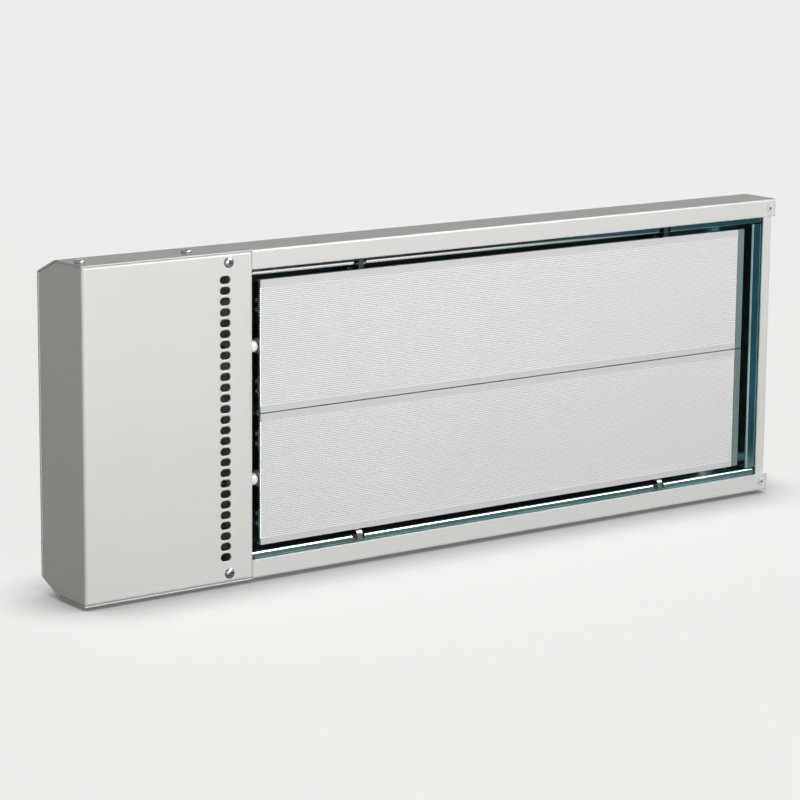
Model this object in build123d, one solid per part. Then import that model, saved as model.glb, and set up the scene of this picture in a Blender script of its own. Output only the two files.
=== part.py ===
from build123d import *
import os

os.makedirs("parts", exist_ok=True)

# Radiant heating panel with two ribbed aluminium lamellas in a folded steel casing.
# The panel lies as it is pictured: +X along its length with the terminal box at the low end,
# -Y out of the radiating face, +Z up. The origin is on the back face, in the middle of the
# four rear fixing inserts. All sizes are in millimetres.

# Overall size of the casing
LENGTH = 673.0
HEIGHT = 250.0
DEPTH = 62.0
CHAMFER_RUN = 25.2      # depth of the slanted strip along each rear corner
CHAMFER_DROP = 11.0     # how far that strip drops towards the back
CASE_SHEET = 1.0
CASE_BEND = 2.2         # outside bend radius
FLANGE_HEIGHT = 14.7    # front flange above and below the lamellas

# Terminal cover, nested between the top and bottom walls
COVER_LENGTH = 145.7
COVER_SHEET = 1.0
COVER_BEND = 2.0
COVER_END_BEND = 2.6
COVER_END_INSET = 1.0   # the end plate stands this far inside the casing's end
COVER_LIP = 24.0        # depth of the tucked flanges above and below
NEST_GAP = 0.25
SEAM_GAP = 0.2
SLOT_PITCH = 8.05
SLOT_MARGIN = 20.0      # least distance of a slot's centre from the casing's edge
SLOT_LENGTH = 9.2
SLOT_HEIGHT = 6.0
SLOT_FROM_SEAM = 23.7
NOTCH_RUN = 1.0         # the flange notches run this far past the lip
COVER_SCREW_FROM_SEAM = 20.7
COVER_SCREW_FROM_EDGE = 7.6
SIDE_SCREW_NEAR = 9.0   # from the casing's left end
SIDE_SCREW_FAR = 99.0
SIDE_SCREW_DEPTH = 16.5  # behind the front

# M4 pan head screws
SCREW_RADIUS = 2.0
SCREW_CLEARANCE = 0.25
SCREW_SLIDE = 0.08
SCREW_HEAD_RADIUS = 4.0
SCREW_HEAD_HEIGHT = 2.5
SCREW_LENGTH = 10.0
RECESS_WIDTH = 1.0
RECESS_SPAN = 4.4
RECESS_DEPTH = 1.5
SCREW_POINT = 0.6       # tapered end of the shank
HEAD_ROUNDING = 0.7     # of the head's height
NUT_WIDTH = 7.0
NUT_HEIGHT = 2.6

# Right end cap, a shallow pan inside the casing
CAP_SHEET = 1.0
CAP_BEND = 2.0
CAP_FOLD = 1.8          # bend between the end plate and its flanges
CAP_INSET = 2.3
CAP_FLANGE = 9.7
CAP_GAP = 0.2
RIVET_RADIUS = 1.6
RIVET_HEAD_RADIUS = 3.3
RIVET_HEAD_HEIGHT = 1.3
RIVET_TAIL_RADIUS = 2.3
RIVET_TAIL_HEIGHT = 2.2
RIVET_BRIM = 0.3
MANDREL_RADIUS = 0.95
MANDREL_DEPTH = 1.5     # of the mandrel's hole below the flange
RIVET_FROM_END = 6.5
RIVET_FROM_EDGE = 7.9

# Rear fixing inserts for M6, set flush in the back
INSERT_FROM_END = 166.5
INSERT_SPACING_X = LENGTH - 2 * INSERT_FROM_END
INSERT_SPACING_Z = 150.0
INSERT_BORE = 2.5
INSERT_RADIUS = 4.5
INSERT_HEAD_RADIUS = 5.2
INSERT_BULGE_RADIUS = 5.6
INSERT_BULGE_LENGTH = 2.0
INSERT_LENGTH = 14.0

# Cable entry grommet in the lower slanted strip
CABLE_ENTRY_FROM_LEFT = 60.0
GROMMET_BORE = 4.5
GROMMET_NECK = 8.0
GROMMET_RIM = 10.0
GROMMET_RIM_HEIGHT = 2.2
GROMMET_COLLAR = 2.0

# Bulkhead between the terminal space and the hot chamber
BULKHEAD_FROM_SEAM = 8.7
BULKHEAD_SHEET = 1.0
BULKHEAD_FLANGE = 12.0
BULKHEAD_GAP = 0.1
BULKHEAD_EAR_HEIGHT = 11.0
BULKHEAD_EAR_LENGTH = 21.0

# Reflector tray of bright galvanised sheet, a long gutter with a separate end piece
TRAY_SHEET = 0.8
TRAY_BEND = 2.0
TRAY_SETBACK = 3.0      # lip behind the casing's front
TRAY_DEPTH = 30.0       # back of the tray behind the casing's front
TRAY_GAP = 0.5          # to the bulkhead and the end cap
TRAY_FROM_END = 22.0
TRAY_LIP = 12.0
TRAY_LIP_FROM_SEAM = 9.3  # where the lips' flats start
TRAY_MITRE = 7.0        # slant of the lips' cut at that end
TRAY_END_LIP = 12.5
TRAY_END_FOOT = 9.0
TRAY_END_GAP = 0.6      # end piece to the gutter's walls
NOTCH_WIDTH = 12.0
NOTCH_EDGE = 1.0

# Lamellas, aluminium extrusions with fine ribs on the face
LAMELLA_BORDER = 24.0   # casing above and below the pair
LAMELLA_GAP = 0.8
LAMELLA_WIDTH = (HEIGHT - LAMELLA_GAP) / 2 - LAMELLA_BORDER
LAMELLA_MARGIN = 4.0    # between the pair and the tray's walls
LAMELLA_SETBACK = 4.5   # face behind the casing's front
LAMELLA_START = 1.0     # from the start of the tray's lips
LAMELLA_BARE_END = 6.8  # ribs milled flat at the far end
LAMELLA_END_GAP = 8.0   # to the tray's end wall
LAMELLA_PLATE = 2.2
RIB_PITCH = 1.5
RIB_DEPTH = 0.45
RIB_MARGIN = 4.7
EDGE_LIP = 1.6
EDGE_LIP_DEPTH = 2.6
RAIL_OFFSET = 30.7
RAIL_PAD = 16.0
RAIL_PAD_HEIGHT = 1.0
RAIL_SLOT = 7.4
RAIL_MOUTH = 4.6
RAIL_HEIGHT = 3.4
RAIL_WALL = 1.3
RAIL_ROOF = 1.1
ARM_WALL = 2.2
ARM_MOUTH = 4.4
MILLED_END = 24.0       # back ribs cut away where the heating rod turns

# Heating rod, one hairpin with a leg in each lamella
ROD_RADIUS = 3.5
ROD_FIT = 0.05
ROD_LIFT = 0.4          # between the rod and the lamella's plate
ROD_INSET = 1.0         # rod ends inside the lamella's cut end
ROD_TURN_RADIUS = 10.0
ROD_TURN_FROM_END = 12.0
PIN_RADIUS = 1.5
PIN_PROUD = 41.0        # past the lamella's end
BEAD_RADIUS = 4.6
BEAD_LENGTH = 27.0
BEAD_ROUND = 3.0
BEAD_HOLE_GAP = 0.3
SLEEVE_RADIUS = 2.6
SLEEVE_LENGTH = 12.0

# Cross straps that carry the lamellas
STRAP_SPACING = 307.0
STRAP_WIDTH = 14.0
STRAP_SHEET = 1.0
STRAP_BEND = 2.0
STRAP_GAP = 0.5
TONGUE_WIDTH = 5.0
TONGUE_RISE = 4.0
TONGUE_STAND = 0.8
BOLT_RADIUS = 2.0
BOLT_HEAD_HEIGHT = 1.6
BOLT_PLAY = 0.15
BOLT_HEAD_LENGTH = 9.8
BOLT_PROUD = 4.2

# Insulation mat behind and around the tray
MAT_GAP = 0.5
MAT_END_GAP = 1.5
INSERT_POCKET = 1.0

# Terminal block, its bracket and the earth stud
BLOCK_FROM_LEFT = 72.0
BLOCK_WIDTH = 26.0
BLOCK_DEPTH = 18.0
POLE_COUNT = 3
POLE_PITCH = 13.0
BLOCK_END_MARGIN = 5.0
POLE_WELL = 8.0
CLAMP_WIDTH = 20.0
CLAMP_SIZE = 6.4
CLAMP_FLOOR = 4.0
CLAMP_PLAY = 0.4
CLAMP_WAY_PLAY = 0.4
BLOCK_CORNER = 2.0
BLOCK_SCREW_INSET = 4.5
BLOCK_SCREW_PROUD = 1.5
WIRE_RADIUS = 1.2
WIRE_COVER = 1.9
TERMINAL_SCREW_RADIUS = 1.5
TERMINAL_SCREW_INSET = 5.0
TERMINAL_HEAD_RADIUS = 2.4
TERMINAL_HEAD_HEIGHT = 1.8
BLOCK_HEAD_RADIUS = 2.7
BLOCK_HEAD_HEIGHT = 2.0
DRIVER_SLOT = 0.7
BRACKET_HEIGHT = 9.0
BRACKET_SHEET = 1.2
BRACKET_BEND = 2.0
BRACKET_FOOT = 12.0
BRACKET_MARGIN = 8.0
EARTH_FROM_BULKHEAD = 25.0
EARTH_BELOW = 34.0
EARTH_RADIUS = 2.5
EARTH_LENGTH = 13.0
EARTH_COLLAR = 1.0      # width and height of the stud's welded collar
EARTH_NUT_WIDTH = 8.0
EARTH_NUT_HEIGHT = 4.0
EARTH_WASHER_RADIUS = 5.0
EARTH_WASHER_SHEET = 1.0
LUG_SHEET = 1.0
LUG_RADIUS = 4.6
LUG_TAIL = 13.0
LEAD_BEND = 6.0
LEAD_OUT = 9.0          # straight run from the rod's crimp
LEAD_IN = 10.0          # straight run into the block
EARTH_LEAD_IN = 12.0
EARTH_LEAD_HALF = 6.0   # half of the straight run on the lug

# Places that follow from the sizes
LEFT = -LENGTH / 2
RIGHT = LENGTH / 2
FRONT = -DEPTH
BACK = 0.0
TOP = HEIGHT / 2
SEAM_X = LEFT + COVER_LENGTH
NEST = CASE_SHEET + NEST_GAP
BEYOND = 5.0            # cutters run this far past what they cut
LIP_X0 = SEAM_X + TRAY_LIP_FROM_SEAM
TRAY_X1 = RIGHT - TRAY_FROM_END
TRAY_HALF = LAMELLA_WIDTH + LAMELLA_GAP / 2 + LAMELLA_MARGIN
TRAY_FRONT = FRONT + TRAY_SETBACK
TRAY_BACK = FRONT + TRAY_DEPTH
LAMELLA_X0 = LIP_X0 + LAMELLA_START
LAMELLA_X1 = TRAY_X1 - LAMELLA_END_GAP
LAMELLA_Z = (LAMELLA_WIDTH + LAMELLA_GAP) / 2
LAMELLA_FACE = FRONT + LAMELLA_SETBACK
PLATE_BACK = LAMELLA_FACE + LAMELLA_PLATE
ARM_BORE = ROD_RADIUS + ROD_FIT
ARM_RADIUS = ARM_BORE + ARM_WALL
ROD_Y = PLATE_BACK + ROD_RADIUS + ROD_LIFT
RAIL_BACK = PLATE_BACK + RAIL_PAD_HEIGHT + RAIL_HEIGHT
STRAP_Y = ROD_Y + ARM_RADIUS + STRAP_GAP
STRAP_XS = [(LAMELLA_X0 + LAMELLA_X1) / 2 + side * STRAP_SPACING / 2 for side in (-1, 1)]
BULKHEAD_X = SEAM_X - BULKHEAD_FROM_SEAM
TRAY_X0 = BULKHEAD_X + BULKHEAD_SHEET + TRAY_GAP
COVER_ROOM = TOP - NEST - COVER_BEND - NEST_GAP
COVER_LIP_END = FRONT + COVER_LIP + NEST_GAP
CAP_FACE = RIGHT - CAP_INSET
TRAY_END = CAP_FACE - CAP_FLANGE - TRAY_GAP
COVER_SCREW_X = SEAM_X - COVER_SCREW_FROM_SEAM
COVER_SCREW_Z = TOP - COVER_SCREW_FROM_EDGE
SIDE_SCREW_XS = [LEFT + SIDE_SCREW_NEAR, LEFT + SIDE_SCREW_FAR]
SIDE_SCREW_Y = FRONT + SIDE_SCREW_DEPTH
RIVET_X = RIGHT - RIVET_FROM_END
RIVET_Z = TOP - RIVET_FROM_EDGE


def prism_x(outline, x0, x1):
    """Outline drawn in Y and Z, carried from x0 to x1."""
    return extrude(Plane.YZ.offset(x0) * outline, amount=x1 - x0)


def prism_y(outline, y0, y1):
    """Outline drawn in X and Z, carried from y0 to y1."""
    return extrude(Plane.XZ.offset(-y0) * outline, amount=y0 - y1)


def prism_z(outline, z0, z1):
    """Outline drawn in X and Y, carried from z0 to z1."""
    return extrude(Plane.XY.offset(z0) * outline, amount=z1 - z0)


def block(low, high):
    """Box between two corners."""
    size = [h - l for l, h in zip(low, high)]
    middle = [(h + l) / 2 for l, h in zip(low, high)]
    return Pos(*middle) * Box(*size)


def turned(profile, place):
    """Closed outline of (radius, height) points, spun about its height and set at a place."""
    face = make_face(Polyline(*profile, close=True))
    return place * revolve(Plane.XZ * face, Axis.Z, 360)


def facing(point, direction):
    """Place whose height runs along a direction from a point, its width along the panel."""
    across = (0, 1, 0) if abs(direction[0]) > 0 else (1, 0, 0)
    return Plane(origin=point, x_dir=across, z_dir=direction).location


def folded(points, radius, sheet, side):
    """Sheet section that follows open outline points with rounded bends."""
    line = FilletPolyline(*points, radius=radius)
    return make_face(offset(line, amount=sheet, side=side))


def casing_outline(inset=0.0, front=FRONT, bend=CASE_BEND):
    """Six-sided section of the casing in Y and Z, drawn in by inset all round."""
    points = [
        (front, -TOP),
        (BACK - CHAMFER_RUN, -TOP),
        (BACK, CHAMFER_DROP - TOP),
        (BACK, TOP - CHAMFER_DROP),
        (BACK - CHAMFER_RUN, TOP),
        (front, TOP),
    ]
    face = make_face(FilletPolyline(*points, radius=bend, close=True))
    return offset(face, amount=-inset) if inset else face


def both_ways(height):
    """The two mirrored heights, above and below the middle."""
    return (height, -height)


def entry_place():
    """Place on the lower slanted strip where the cable enters, height pointing outwards."""
    point = (LEFT + CABLE_ENTRY_FROM_LEFT, BACK - CHAMFER_RUN / 2, CHAMFER_DROP / 2 - TOP)
    return facing(point, (0, CHAMFER_DROP, -CHAMFER_RUN))


def insert_points():
    """Centres of the rear fixings on the back face."""
    return [
        (sx * INSERT_SPACING_X / 2, BACK, sz * INSERT_SPACING_Z / 2)
        for sx in (-1, 1)
        for sz in (-1, 1)
    ]


def rivet_places():
    """Seats of the end cap's rivets: two in the front flanges, two in the slanted strips."""
    front = [facing((RIVET_X, FRONT, z), (0, -1, 0)) for z in both_ways(RIVET_Z)]
    rear = [
        facing((RIVET_X, BACK - CHAMFER_RUN / 2, z), (0, CHAMFER_DROP, CHAMFER_RUN * z / abs(z)))
        for z in both_ways(TOP - CHAMFER_DROP / 2)
    ]
    return front + rear


def casing():
    """Folded steel channel: back, slanted strips, walls and the two front flanges."""
    wall = casing_outline() - casing_outline(CASE_SHEET)
    flanged = prism_x(wall, SEAM_X, RIGHT)
    window = TOP - FLANGE_HEIGHT
    flanged -= block((SEAM_X, FRONT - BEYOND, -window), (RIGHT, FRONT + CASE_BEND, window))
    plain_front = FRONT - BEYOND
    plain = casing_outline(front=plain_front) - casing_outline(CASE_SHEET, front=plain_front)
    open_end = prism_x(plain, LEFT, SEAM_X)
    open_end -= block((LEFT, plain_front, -TOP), (SEAM_X, FRONT, TOP))
    body = flanged + open_end
    through = SCREW_RADIUS + SCREW_CLEARANCE
    for x in SIDE_SCREW_XS:
        body -= Pos(x, SIDE_SCREW_Y, 0) * Cylinder(through, HEIGHT + BEYOND)
    for place in rivet_places():
        body -= place * Cylinder(RIVET_RADIUS, 2 * BEYOND)
    for point in insert_points():
        body -= turned(insert_outline(0.0), facing(point, (0, 1, 0)))
    body -= entry_place() * Cylinder(GROMMET_NECK, 2 * BEYOND)
    return body


def insert_outline(bore):
    """Flush rivet nut: sunk head, straight shank through the wall, bulge and body behind it."""
    slope = INSERT_HEAD_RADIUS - INSERT_RADIUS
    bulge_end = CASE_SHEET + slope + INSERT_BULGE_LENGTH
    return [
        (bore, 0.0),
        (INSERT_HEAD_RADIUS, 0.0),
        (INSERT_RADIUS, -slope),
        (INSERT_RADIUS, -CASE_SHEET),
        (INSERT_BULGE_RADIUS, -CASE_SHEET),
        (INSERT_BULGE_RADIUS, slope - bulge_end),
        (INSERT_RADIUS, -bulge_end),
        (INSERT_RADIUS, -INSERT_LENGTH),
        (bore, -INSERT_LENGTH),
    ]


def rear_inserts():
    """Four threaded inserts in the back, M6 drawn plain at its core."""
    return [turned(insert_outline(INSERT_BORE), facing(p, (0, 1, 0))) for p in insert_points()]


def cable_grommet():
    """Rubber grommet: outer rim, neck in the sheet and inner collar, with the cable's bore."""
    neck = CASE_SHEET
    collar_end = neck + GROMMET_COLLAR
    profile = [
        (GROMMET_BORE, GROMMET_RIM_HEIGHT),
        (GROMMET_NECK, GROMMET_RIM_HEIGHT),
        (GROMMET_RIM, GROMMET_RIM_HEIGHT / 2),
        (GROMMET_RIM, 0.0),
        (GROMMET_NECK, 0.0),
        (GROMMET_NECK, -neck),
        (GROMMET_RIM, -neck),
        (GROMMET_NECK, -collar_end),
        (GROMMET_BORE, -collar_end),
    ]
    return turned(profile, entry_place())


def terminal_cover():
    """Front plate and left end plate in one bend, tucked flanges, vent slots and screw holes."""
    x0 = LEFT + COVER_END_INSET
    x1 = SEAM_X - SEAM_GAP
    nested_front = FRONT - NEST
    bend = COVER_BEND + NEST
    outer = casing_outline(NEST, nested_front, bend)
    inner = casing_outline(NEST + COVER_SHEET, nested_front, bend)
    body = prism_x(outer, x0, x1) & prism_z(rounded_end(x0, FRONT, COVER_END_BEND), -TOP, TOP)
    corner = rounded_end(x0 + COVER_SHEET, FRONT + COVER_SHEET, COVER_END_BEND - COVER_SHEET)
    body -= prism_x(inner, x0, x1 + BEYOND) & prism_z(corner, -TOP, TOP)
    body -= block((x0 + COVER_SHEET, FRONT + COVER_LIP, -TOP), (x1, BACK, TOP))
    slot = SlotOverall(SLOT_LENGTH, SLOT_HEIGHT)
    slots = [Pos(SEAM_X - SLOT_FROM_SEAM, i * SLOT_PITCH) * slot for i in slot_steps()]
    body -= prism_y(Sketch() + slots, FRONT - BEYOND, FRONT + BEYOND)
    hole = SCREW_RADIUS + SCREW_CLEARANCE
    for z in both_ways(COVER_SCREW_Z):
        body -= facing((COVER_SCREW_X, FRONT, z), (0, -1, 0)) * Cylinder(hole, 2 * BEYOND)
    for x in SIDE_SCREW_XS:
        notch = Pos(x, SIDE_SCREW_Y, 0) * Cylinder(hole, HEIGHT)
        notch += block((x - hole, SIDE_SCREW_Y, -TOP), (x + hole, FRONT + COVER_LIP + NOTCH_RUN, TOP))
        body -= notch
    return body


def slot_steps():
    """Steps of the vent slots, counted from the middle one."""
    count = int((HEIGHT - 2 * SLOT_MARGIN) / SLOT_PITCH) + 1
    return [i - (count - 1) / 2 for i in range(count)]


def rounded_end(x0, y0, radius):
    """Outline in X and Y, open to the back and right, with one rounded corner."""
    x1 = SEAM_X + BEYOND
    y1 = BACK + BEYOND
    points = [(x0, y0), (x1, y0), (x1, y1), (x0, y1)]
    return make_face(FilletPolyline(*points, radius=[radius, 0, 0, 0], close=True))


def pan_screw(length):
    """Cross-recess pan head screw, its seat at height zero and its shank below."""
    head = turned(
        [
            (0, -length),
            (SCREW_RADIUS - SCREW_POINT, -length),
            (SCREW_RADIUS, SCREW_POINT - length),
            (SCREW_RADIUS, 0),
            (SCREW_HEAD_RADIUS, 0),
            (SCREW_HEAD_RADIUS, SCREW_HEAD_HEIGHT),
            (0, SCREW_HEAD_HEIGHT),
        ],
        Location(),
    )
    rim = head.edges().filter_by(GeomType.CIRCLE).sort_by(Axis.Z)[-1]
    head = fillet(rim, SCREW_HEAD_HEIGHT * HEAD_ROUNDING)
    arm = Box(RECESS_SPAN, RECESS_WIDTH, 2 * RECESS_DEPTH)
    cross = Pos(0, 0, SCREW_HEAD_HEIGHT) * (arm + Rot(0, 0, 90) * arm)
    return head - cross


def cover_front_screws():
    """The two screws through the cover's face."""
    screw = pan_screw(SCREW_LENGTH)
    return [facing((COVER_SCREW_X, FRONT, z), (0, -1, 0)) * screw for z in both_ways(COVER_SCREW_Z)]


def cover_side_screws():
    """Four screws through the top and bottom walls, over the cover's open notches."""
    screw = pan_screw(SCREW_LENGTH)
    return [
        facing((x, SIDE_SCREW_Y, z), (0, 0, z)) * screw
        for x in SIDE_SCREW_XS
        for z in both_ways(TOP)
    ]


def cover_side_nuts():
    """Square nuts that clamp the cover's flanges from inside."""
    far = TOP - NEST - COVER_SHEET - SCREW_CLEARANCE
    nut = Box(NUT_WIDTH, NUT_WIDTH, NUT_HEIGHT) - Cylinder(SCREW_RADIUS, NUT_HEIGHT)
    return [
        Pos(x, SIDE_SCREW_Y, side * (far - NUT_HEIGHT / 2)) * nut
        for x in SIDE_SCREW_XS
        for side in (1, -1)
    ]


def end_cap():
    """Shallow pan in the right end, its flanges turned in along the casing's walls."""
    inset = CASE_SHEET + CAP_GAP
    x0 = CAP_FACE - CAP_FLANGE
    bend = CAP_BEND + inset
    body = prism_x(casing_outline(inset, FRONT, bend), x0, CAP_FACE)
    body = fillet(body.faces().sort_by(Axis.X)[-1].edges(), CAP_FOLD)
    hollow = prism_x(casing_outline(inset + CAP_SHEET, FRONT, bend), x0, CAP_FACE - CAP_SHEET)
    body -= fillet(hollow.faces().sort_by(Axis.X)[-1].edges(), CAP_FOLD - CAP_SHEET)
    for place in rivet_places():
        body -= place * Cylinder(RIVET_RADIUS, 2 * BEYOND)
    return body


def end_cap_rivets():
    """Blind rivets: domed head with the mandrel's hole, shank and swelled tail."""
    grip = CASE_SHEET + CAP_GAP + CAP_SHEET
    profile = [
        (RIVET_RADIUS, 0),
        (RIVET_HEAD_RADIUS, 0),
        (RIVET_HEAD_RADIUS, RIVET_BRIM),
        (2 * MANDREL_RADIUS, RIVET_HEAD_HEIGHT),
        (MANDREL_RADIUS, RIVET_HEAD_HEIGHT),
        (MANDREL_RADIUS, -MANDREL_DEPTH),
        (0, -MANDREL_DEPTH),
        (0, -grip - RIVET_TAIL_HEIGHT),
        (RIVET_RADIUS, -grip - RIVET_TAIL_HEIGHT),
        (RIVET_TAIL_RADIUS, -grip - RIVET_TAIL_HEIGHT / 2),
        (RIVET_TAIL_RADIUS, -grip),
        (RIVET_RADIUS, -grip),
    ]
    return [turned(profile, place) for place in rivet_places()]


def bulkhead():
    """Partition with welded flanges, holes for the ceramic bushes and ears for the cover screws."""
    x1 = BULKHEAD_X + BULKHEAD_SHEET
    inset = CASE_SHEET + BULKHEAD_GAP
    web_front = FRONT + COVER_SHEET + BULKHEAD_GAP
    clear_z = COVER_ROOM
    step_y = COVER_LIP_END
    pan = prism_x(casing_outline(inset), BULKHEAD_X - BULKHEAD_FLANGE, x1)
    pan -= prism_x(
        casing_outline(inset + BULKHEAD_SHEET), BULKHEAD_X - BULKHEAD_FLANGE, BULKHEAD_X
    )
    pan -= block((LEFT, FRONT, -TOP), (BULKHEAD_X, step_y, TOP))
    pan -= block((BULKHEAD_X, FRONT, -TOP), (x1, web_front, TOP))
    ear_z = (clear_z, clear_z - BULKHEAD_EAR_HEIGHT)
    ear_x = BULKHEAD_X - BULKHEAD_EAR_LENGTH + BULKHEAD_SHEET
    for side in (1, -1):
        low, high = sorted((side * clear_z, side * TOP))
        pan -= block((BULKHEAD_X, FRONT, low), (x1, step_y, high))
        low, high = sorted(side * z for z in ear_z)
        ear = block((ear_x, web_front, low), (x1, web_front + BULKHEAD_SHEET, high))
        pan += ear
        tapped = Cylinder(SCREW_RADIUS + SCREW_SLIDE, 4 * BEYOND)
        pan -= facing((COVER_SCREW_X, FRONT, side * COVER_SCREW_Z), (0, -1, 0)) * tapped
        hole = Cylinder(BEAD_RADIUS + BEAD_HOLE_GAP, 2 * BEYOND)
        pan -= facing((BULKHEAD_X, ROD_Y, side * LAMELLA_Z), (1, 0, 0)) * hole
    return pan


def reflector_tray():
    """Bright gutter behind the lamellas, its lips turned out along the casing's front flanges."""
    lip_z = TRAY_HALF + TRAY_LIP
    floor = TRAY_BACK - TRAY_SHEET
    upper = [(TRAY_FRONT, lip_z), (TRAY_FRONT, TRAY_HALF), (floor, TRAY_HALF)]
    lower = [(y, -z) for y, z in reversed(upper)]
    body = prism_x(folded(upper + lower, TRAY_BEND, TRAY_SHEET, Side.LEFT), TRAY_X0, TRAY_END)
    hem = FRONT + CASE_SHEET
    for side in (1, -1):
        low, high = sorted((side * lip_z, side * (lip_z - TRAY_SHEET)))
        body += block((TRAY_X0, hem, low), (TRAY_END, TRAY_FRONT + TRAY_SHEET, high))
        flat_z = side * (TRAY_HALF + TRAY_BEND)
        edge_z = side * (lip_z + BEYOND)
        start = TRAY_X0 - BEYOND
        cut = [(start, flat_z), (LIP_X0 - TRAY_MITRE, flat_z), (LIP_X0, side * lip_z), (LIP_X0, edge_z)]
        mitre = make_face(Polyline(*cut, (start, edge_z), close=True))
        body -= prism_y(mitre, FRONT, TRAY_FRONT + TRAY_BEND)
        for x in STRAP_XS:
            ends = (side * (TRAY_HALF - NOTCH_EDGE), side * (TRAY_HALF + 2 * TRAY_BEND))
            low, high = sorted(ends)
            corner = (x - NOTCH_WIDTH / 2, TRAY_FRONT - NOTCH_EDGE, low)
            body -= block(corner, (x + NOTCH_WIDTH / 2, TRAY_FRONT + TRAY_BEND + TRAY_SHEET, high))
    return body


def tray_end():
    """Folded end piece of the tray, welded to its floor: foot, end wall and turned out lip."""
    floor = TRAY_BACK - TRAY_SHEET
    points = [
        (TRAY_X1 + TRAY_END_LIP, TRAY_FRONT),
        (TRAY_X1, TRAY_FRONT),
        (TRAY_X1, floor),
        (TRAY_X1 + TRAY_END_FOOT, floor),
    ]
    half = TRAY_HALF - TRAY_END_GAP
    section = folded(points, TRAY_BEND, TRAY_SHEET, Side.RIGHT)
    body = prism_z(section, -half, half)
    corner = TRAY_BEND + TRAY_END_GAP
    for side in (1, -1):
        low, high = sorted((side * TRAY_HALF, side * (TRAY_HALF - corner)))
        body -= block((TRAY_X1 - BEYOND, floor - corner, low), (TRAY_END, BACK, high))
    return body


def insulation_mat():
    """Mineral wool packed between the casing and the tray."""
    x0 = BULKHEAD_X + BULKHEAD_SHEET + MAT_GAP
    x1 = CAP_FACE - CAP_FLANGE - MAT_END_GAP
    front = TRAY_FRONT + TRAY_SHEET + MAT_GAP
    body = prism_x(casing_outline(CASE_SHEET + MAT_GAP), x0, x1)
    body -= block((x0, FRONT, -TOP), (x1, front, TOP))
    room = TRAY_HALF + TRAY_SHEET + MAT_GAP
    bend = TRAY_BEND + MAT_GAP
    body -= block((x0, FRONT, -room), (x1, TRAY_BACK + MAT_GAP, room))
    body -= block((x0, FRONT, -room - bend), (x1, front + bend, room + bend))
    for side in (1, -1):
        low, high = sorted((side * (COVER_ROOM - MAT_GAP), side * TOP))
        body -= block((x0, FRONT, low), (SEAM_X + MAT_GAP, COVER_LIP_END + MAT_GAP, high))
    for point in insert_points():
        pocket = Cylinder(INSERT_BULGE_RADIUS + INSERT_POCKET, 2 * (INSERT_LENGTH + INSERT_POCKET))
        body -= facing(point, (0, 1, 0)) * pocket
    return body


def lamella_section():
    """Extruded section: ribbed plate, edge lips, two bolt rails and the rod's sprung channel."""
    half = LAMELLA_WIDTH / 2

    def bar(y0, y1, z0, z1):
        return Pos((y0 + y1) / 2, (z0 + z1) / 2) * Rectangle(y1 - y0, z1 - z0)

    face = bar(LAMELLA_FACE, PLATE_BACK, -half, half)
    for side in (1, -1):
        low, high = sorted((side * half, side * (half - EDGE_LIP)))
        face += bar(PLATE_BACK, PLATE_BACK + EDGE_LIP_DEPTH, low, high)
        rail = side * RAIL_OFFSET
        pad_back = PLATE_BACK + RAIL_PAD_HEIGHT
        face += bar(PLATE_BACK, pad_back, rail - RAIL_PAD / 2, rail + RAIL_PAD / 2)
        outer = RAIL_SLOT / 2 + RAIL_WALL
        face += bar(pad_back, RAIL_BACK, rail - outer, rail + outer)
        face -= bar(pad_back, RAIL_BACK - RAIL_ROOF, rail - RAIL_SLOT / 2, rail + RAIL_SLOT / 2)
        face -= bar(pad_back, RAIL_BACK, rail - RAIL_MOUTH / 2, rail + RAIL_MOUTH / 2)
    face += Pos(ROD_Y, 0) * Circle(ARM_RADIUS)
    face += bar(PLATE_BACK, ROD_Y, -ARM_RADIUS, ARM_RADIUS)
    face -= Pos(ROD_Y, 0) * Circle(ARM_BORE)
    face -= bar(ROD_Y, ROD_Y + ARM_RADIUS, -ARM_MOUTH / 2, ARM_MOUTH / 2)
    count = int((LAMELLA_WIDTH - 2 * RIB_MARGIN) / RIB_PITCH)
    groove = make_face(
        Polyline((0, -RIB_PITCH / 2), (RIB_DEPTH, 0), (0, RIB_PITCH / 2), (-1, 0), close=True)
    )
    first = -(count - 1) / 2
    grooves = [Pos(LAMELLA_FACE, (first + i) * RIB_PITCH) * groove for i in range(count)]
    return face - grooves


def lamella(z):
    """One lamella at its height, its back ribs milled off where the rod turns."""
    body = prism_x(Pos(0, z) * lamella_section(), LAMELLA_X0, LAMELLA_X1)
    low = (LAMELLA_X1 - MILLED_END, PLATE_BACK, z - LAMELLA_WIDTH)
    body -= block(low, (LAMELLA_X1 + BEYOND, TRAY_BACK, z + LAMELLA_WIDTH))
    low = (LAMELLA_X1 - LAMELLA_BARE_END, FRONT, z - LAMELLA_WIDTH)
    return body - block(low, (LAMELLA_X1 + BEYOND, LAMELLA_FACE + RIB_DEPTH, z + LAMELLA_WIDTH))


def heating_rod():
    """Hairpin rod: a leg clipped in each lamella and a square turn at the far end."""
    x0 = LAMELLA_X0 + ROD_INSET
    x1 = LAMELLA_X1 - ROD_TURN_FROM_END
    there = [(x, ROD_Y, LAMELLA_Z) for x in (x0, x1)]
    points = there + [(x, ROD_Y, -LAMELLA_Z) for x in (x1, x0)]
    path = FilletPolyline(*points, radius=ROD_TURN_RADIUS)
    return sweep(Plane(path @ 0, z_dir=path % 0) * Circle(ROD_RADIUS), path=path)


def along_x(x, z, shape):
    """Round piece set on a rod leg's axis, its height running towards the terminal box."""
    return facing((x, ROD_Y, z), (-1, 0, 0)) * shape


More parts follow.
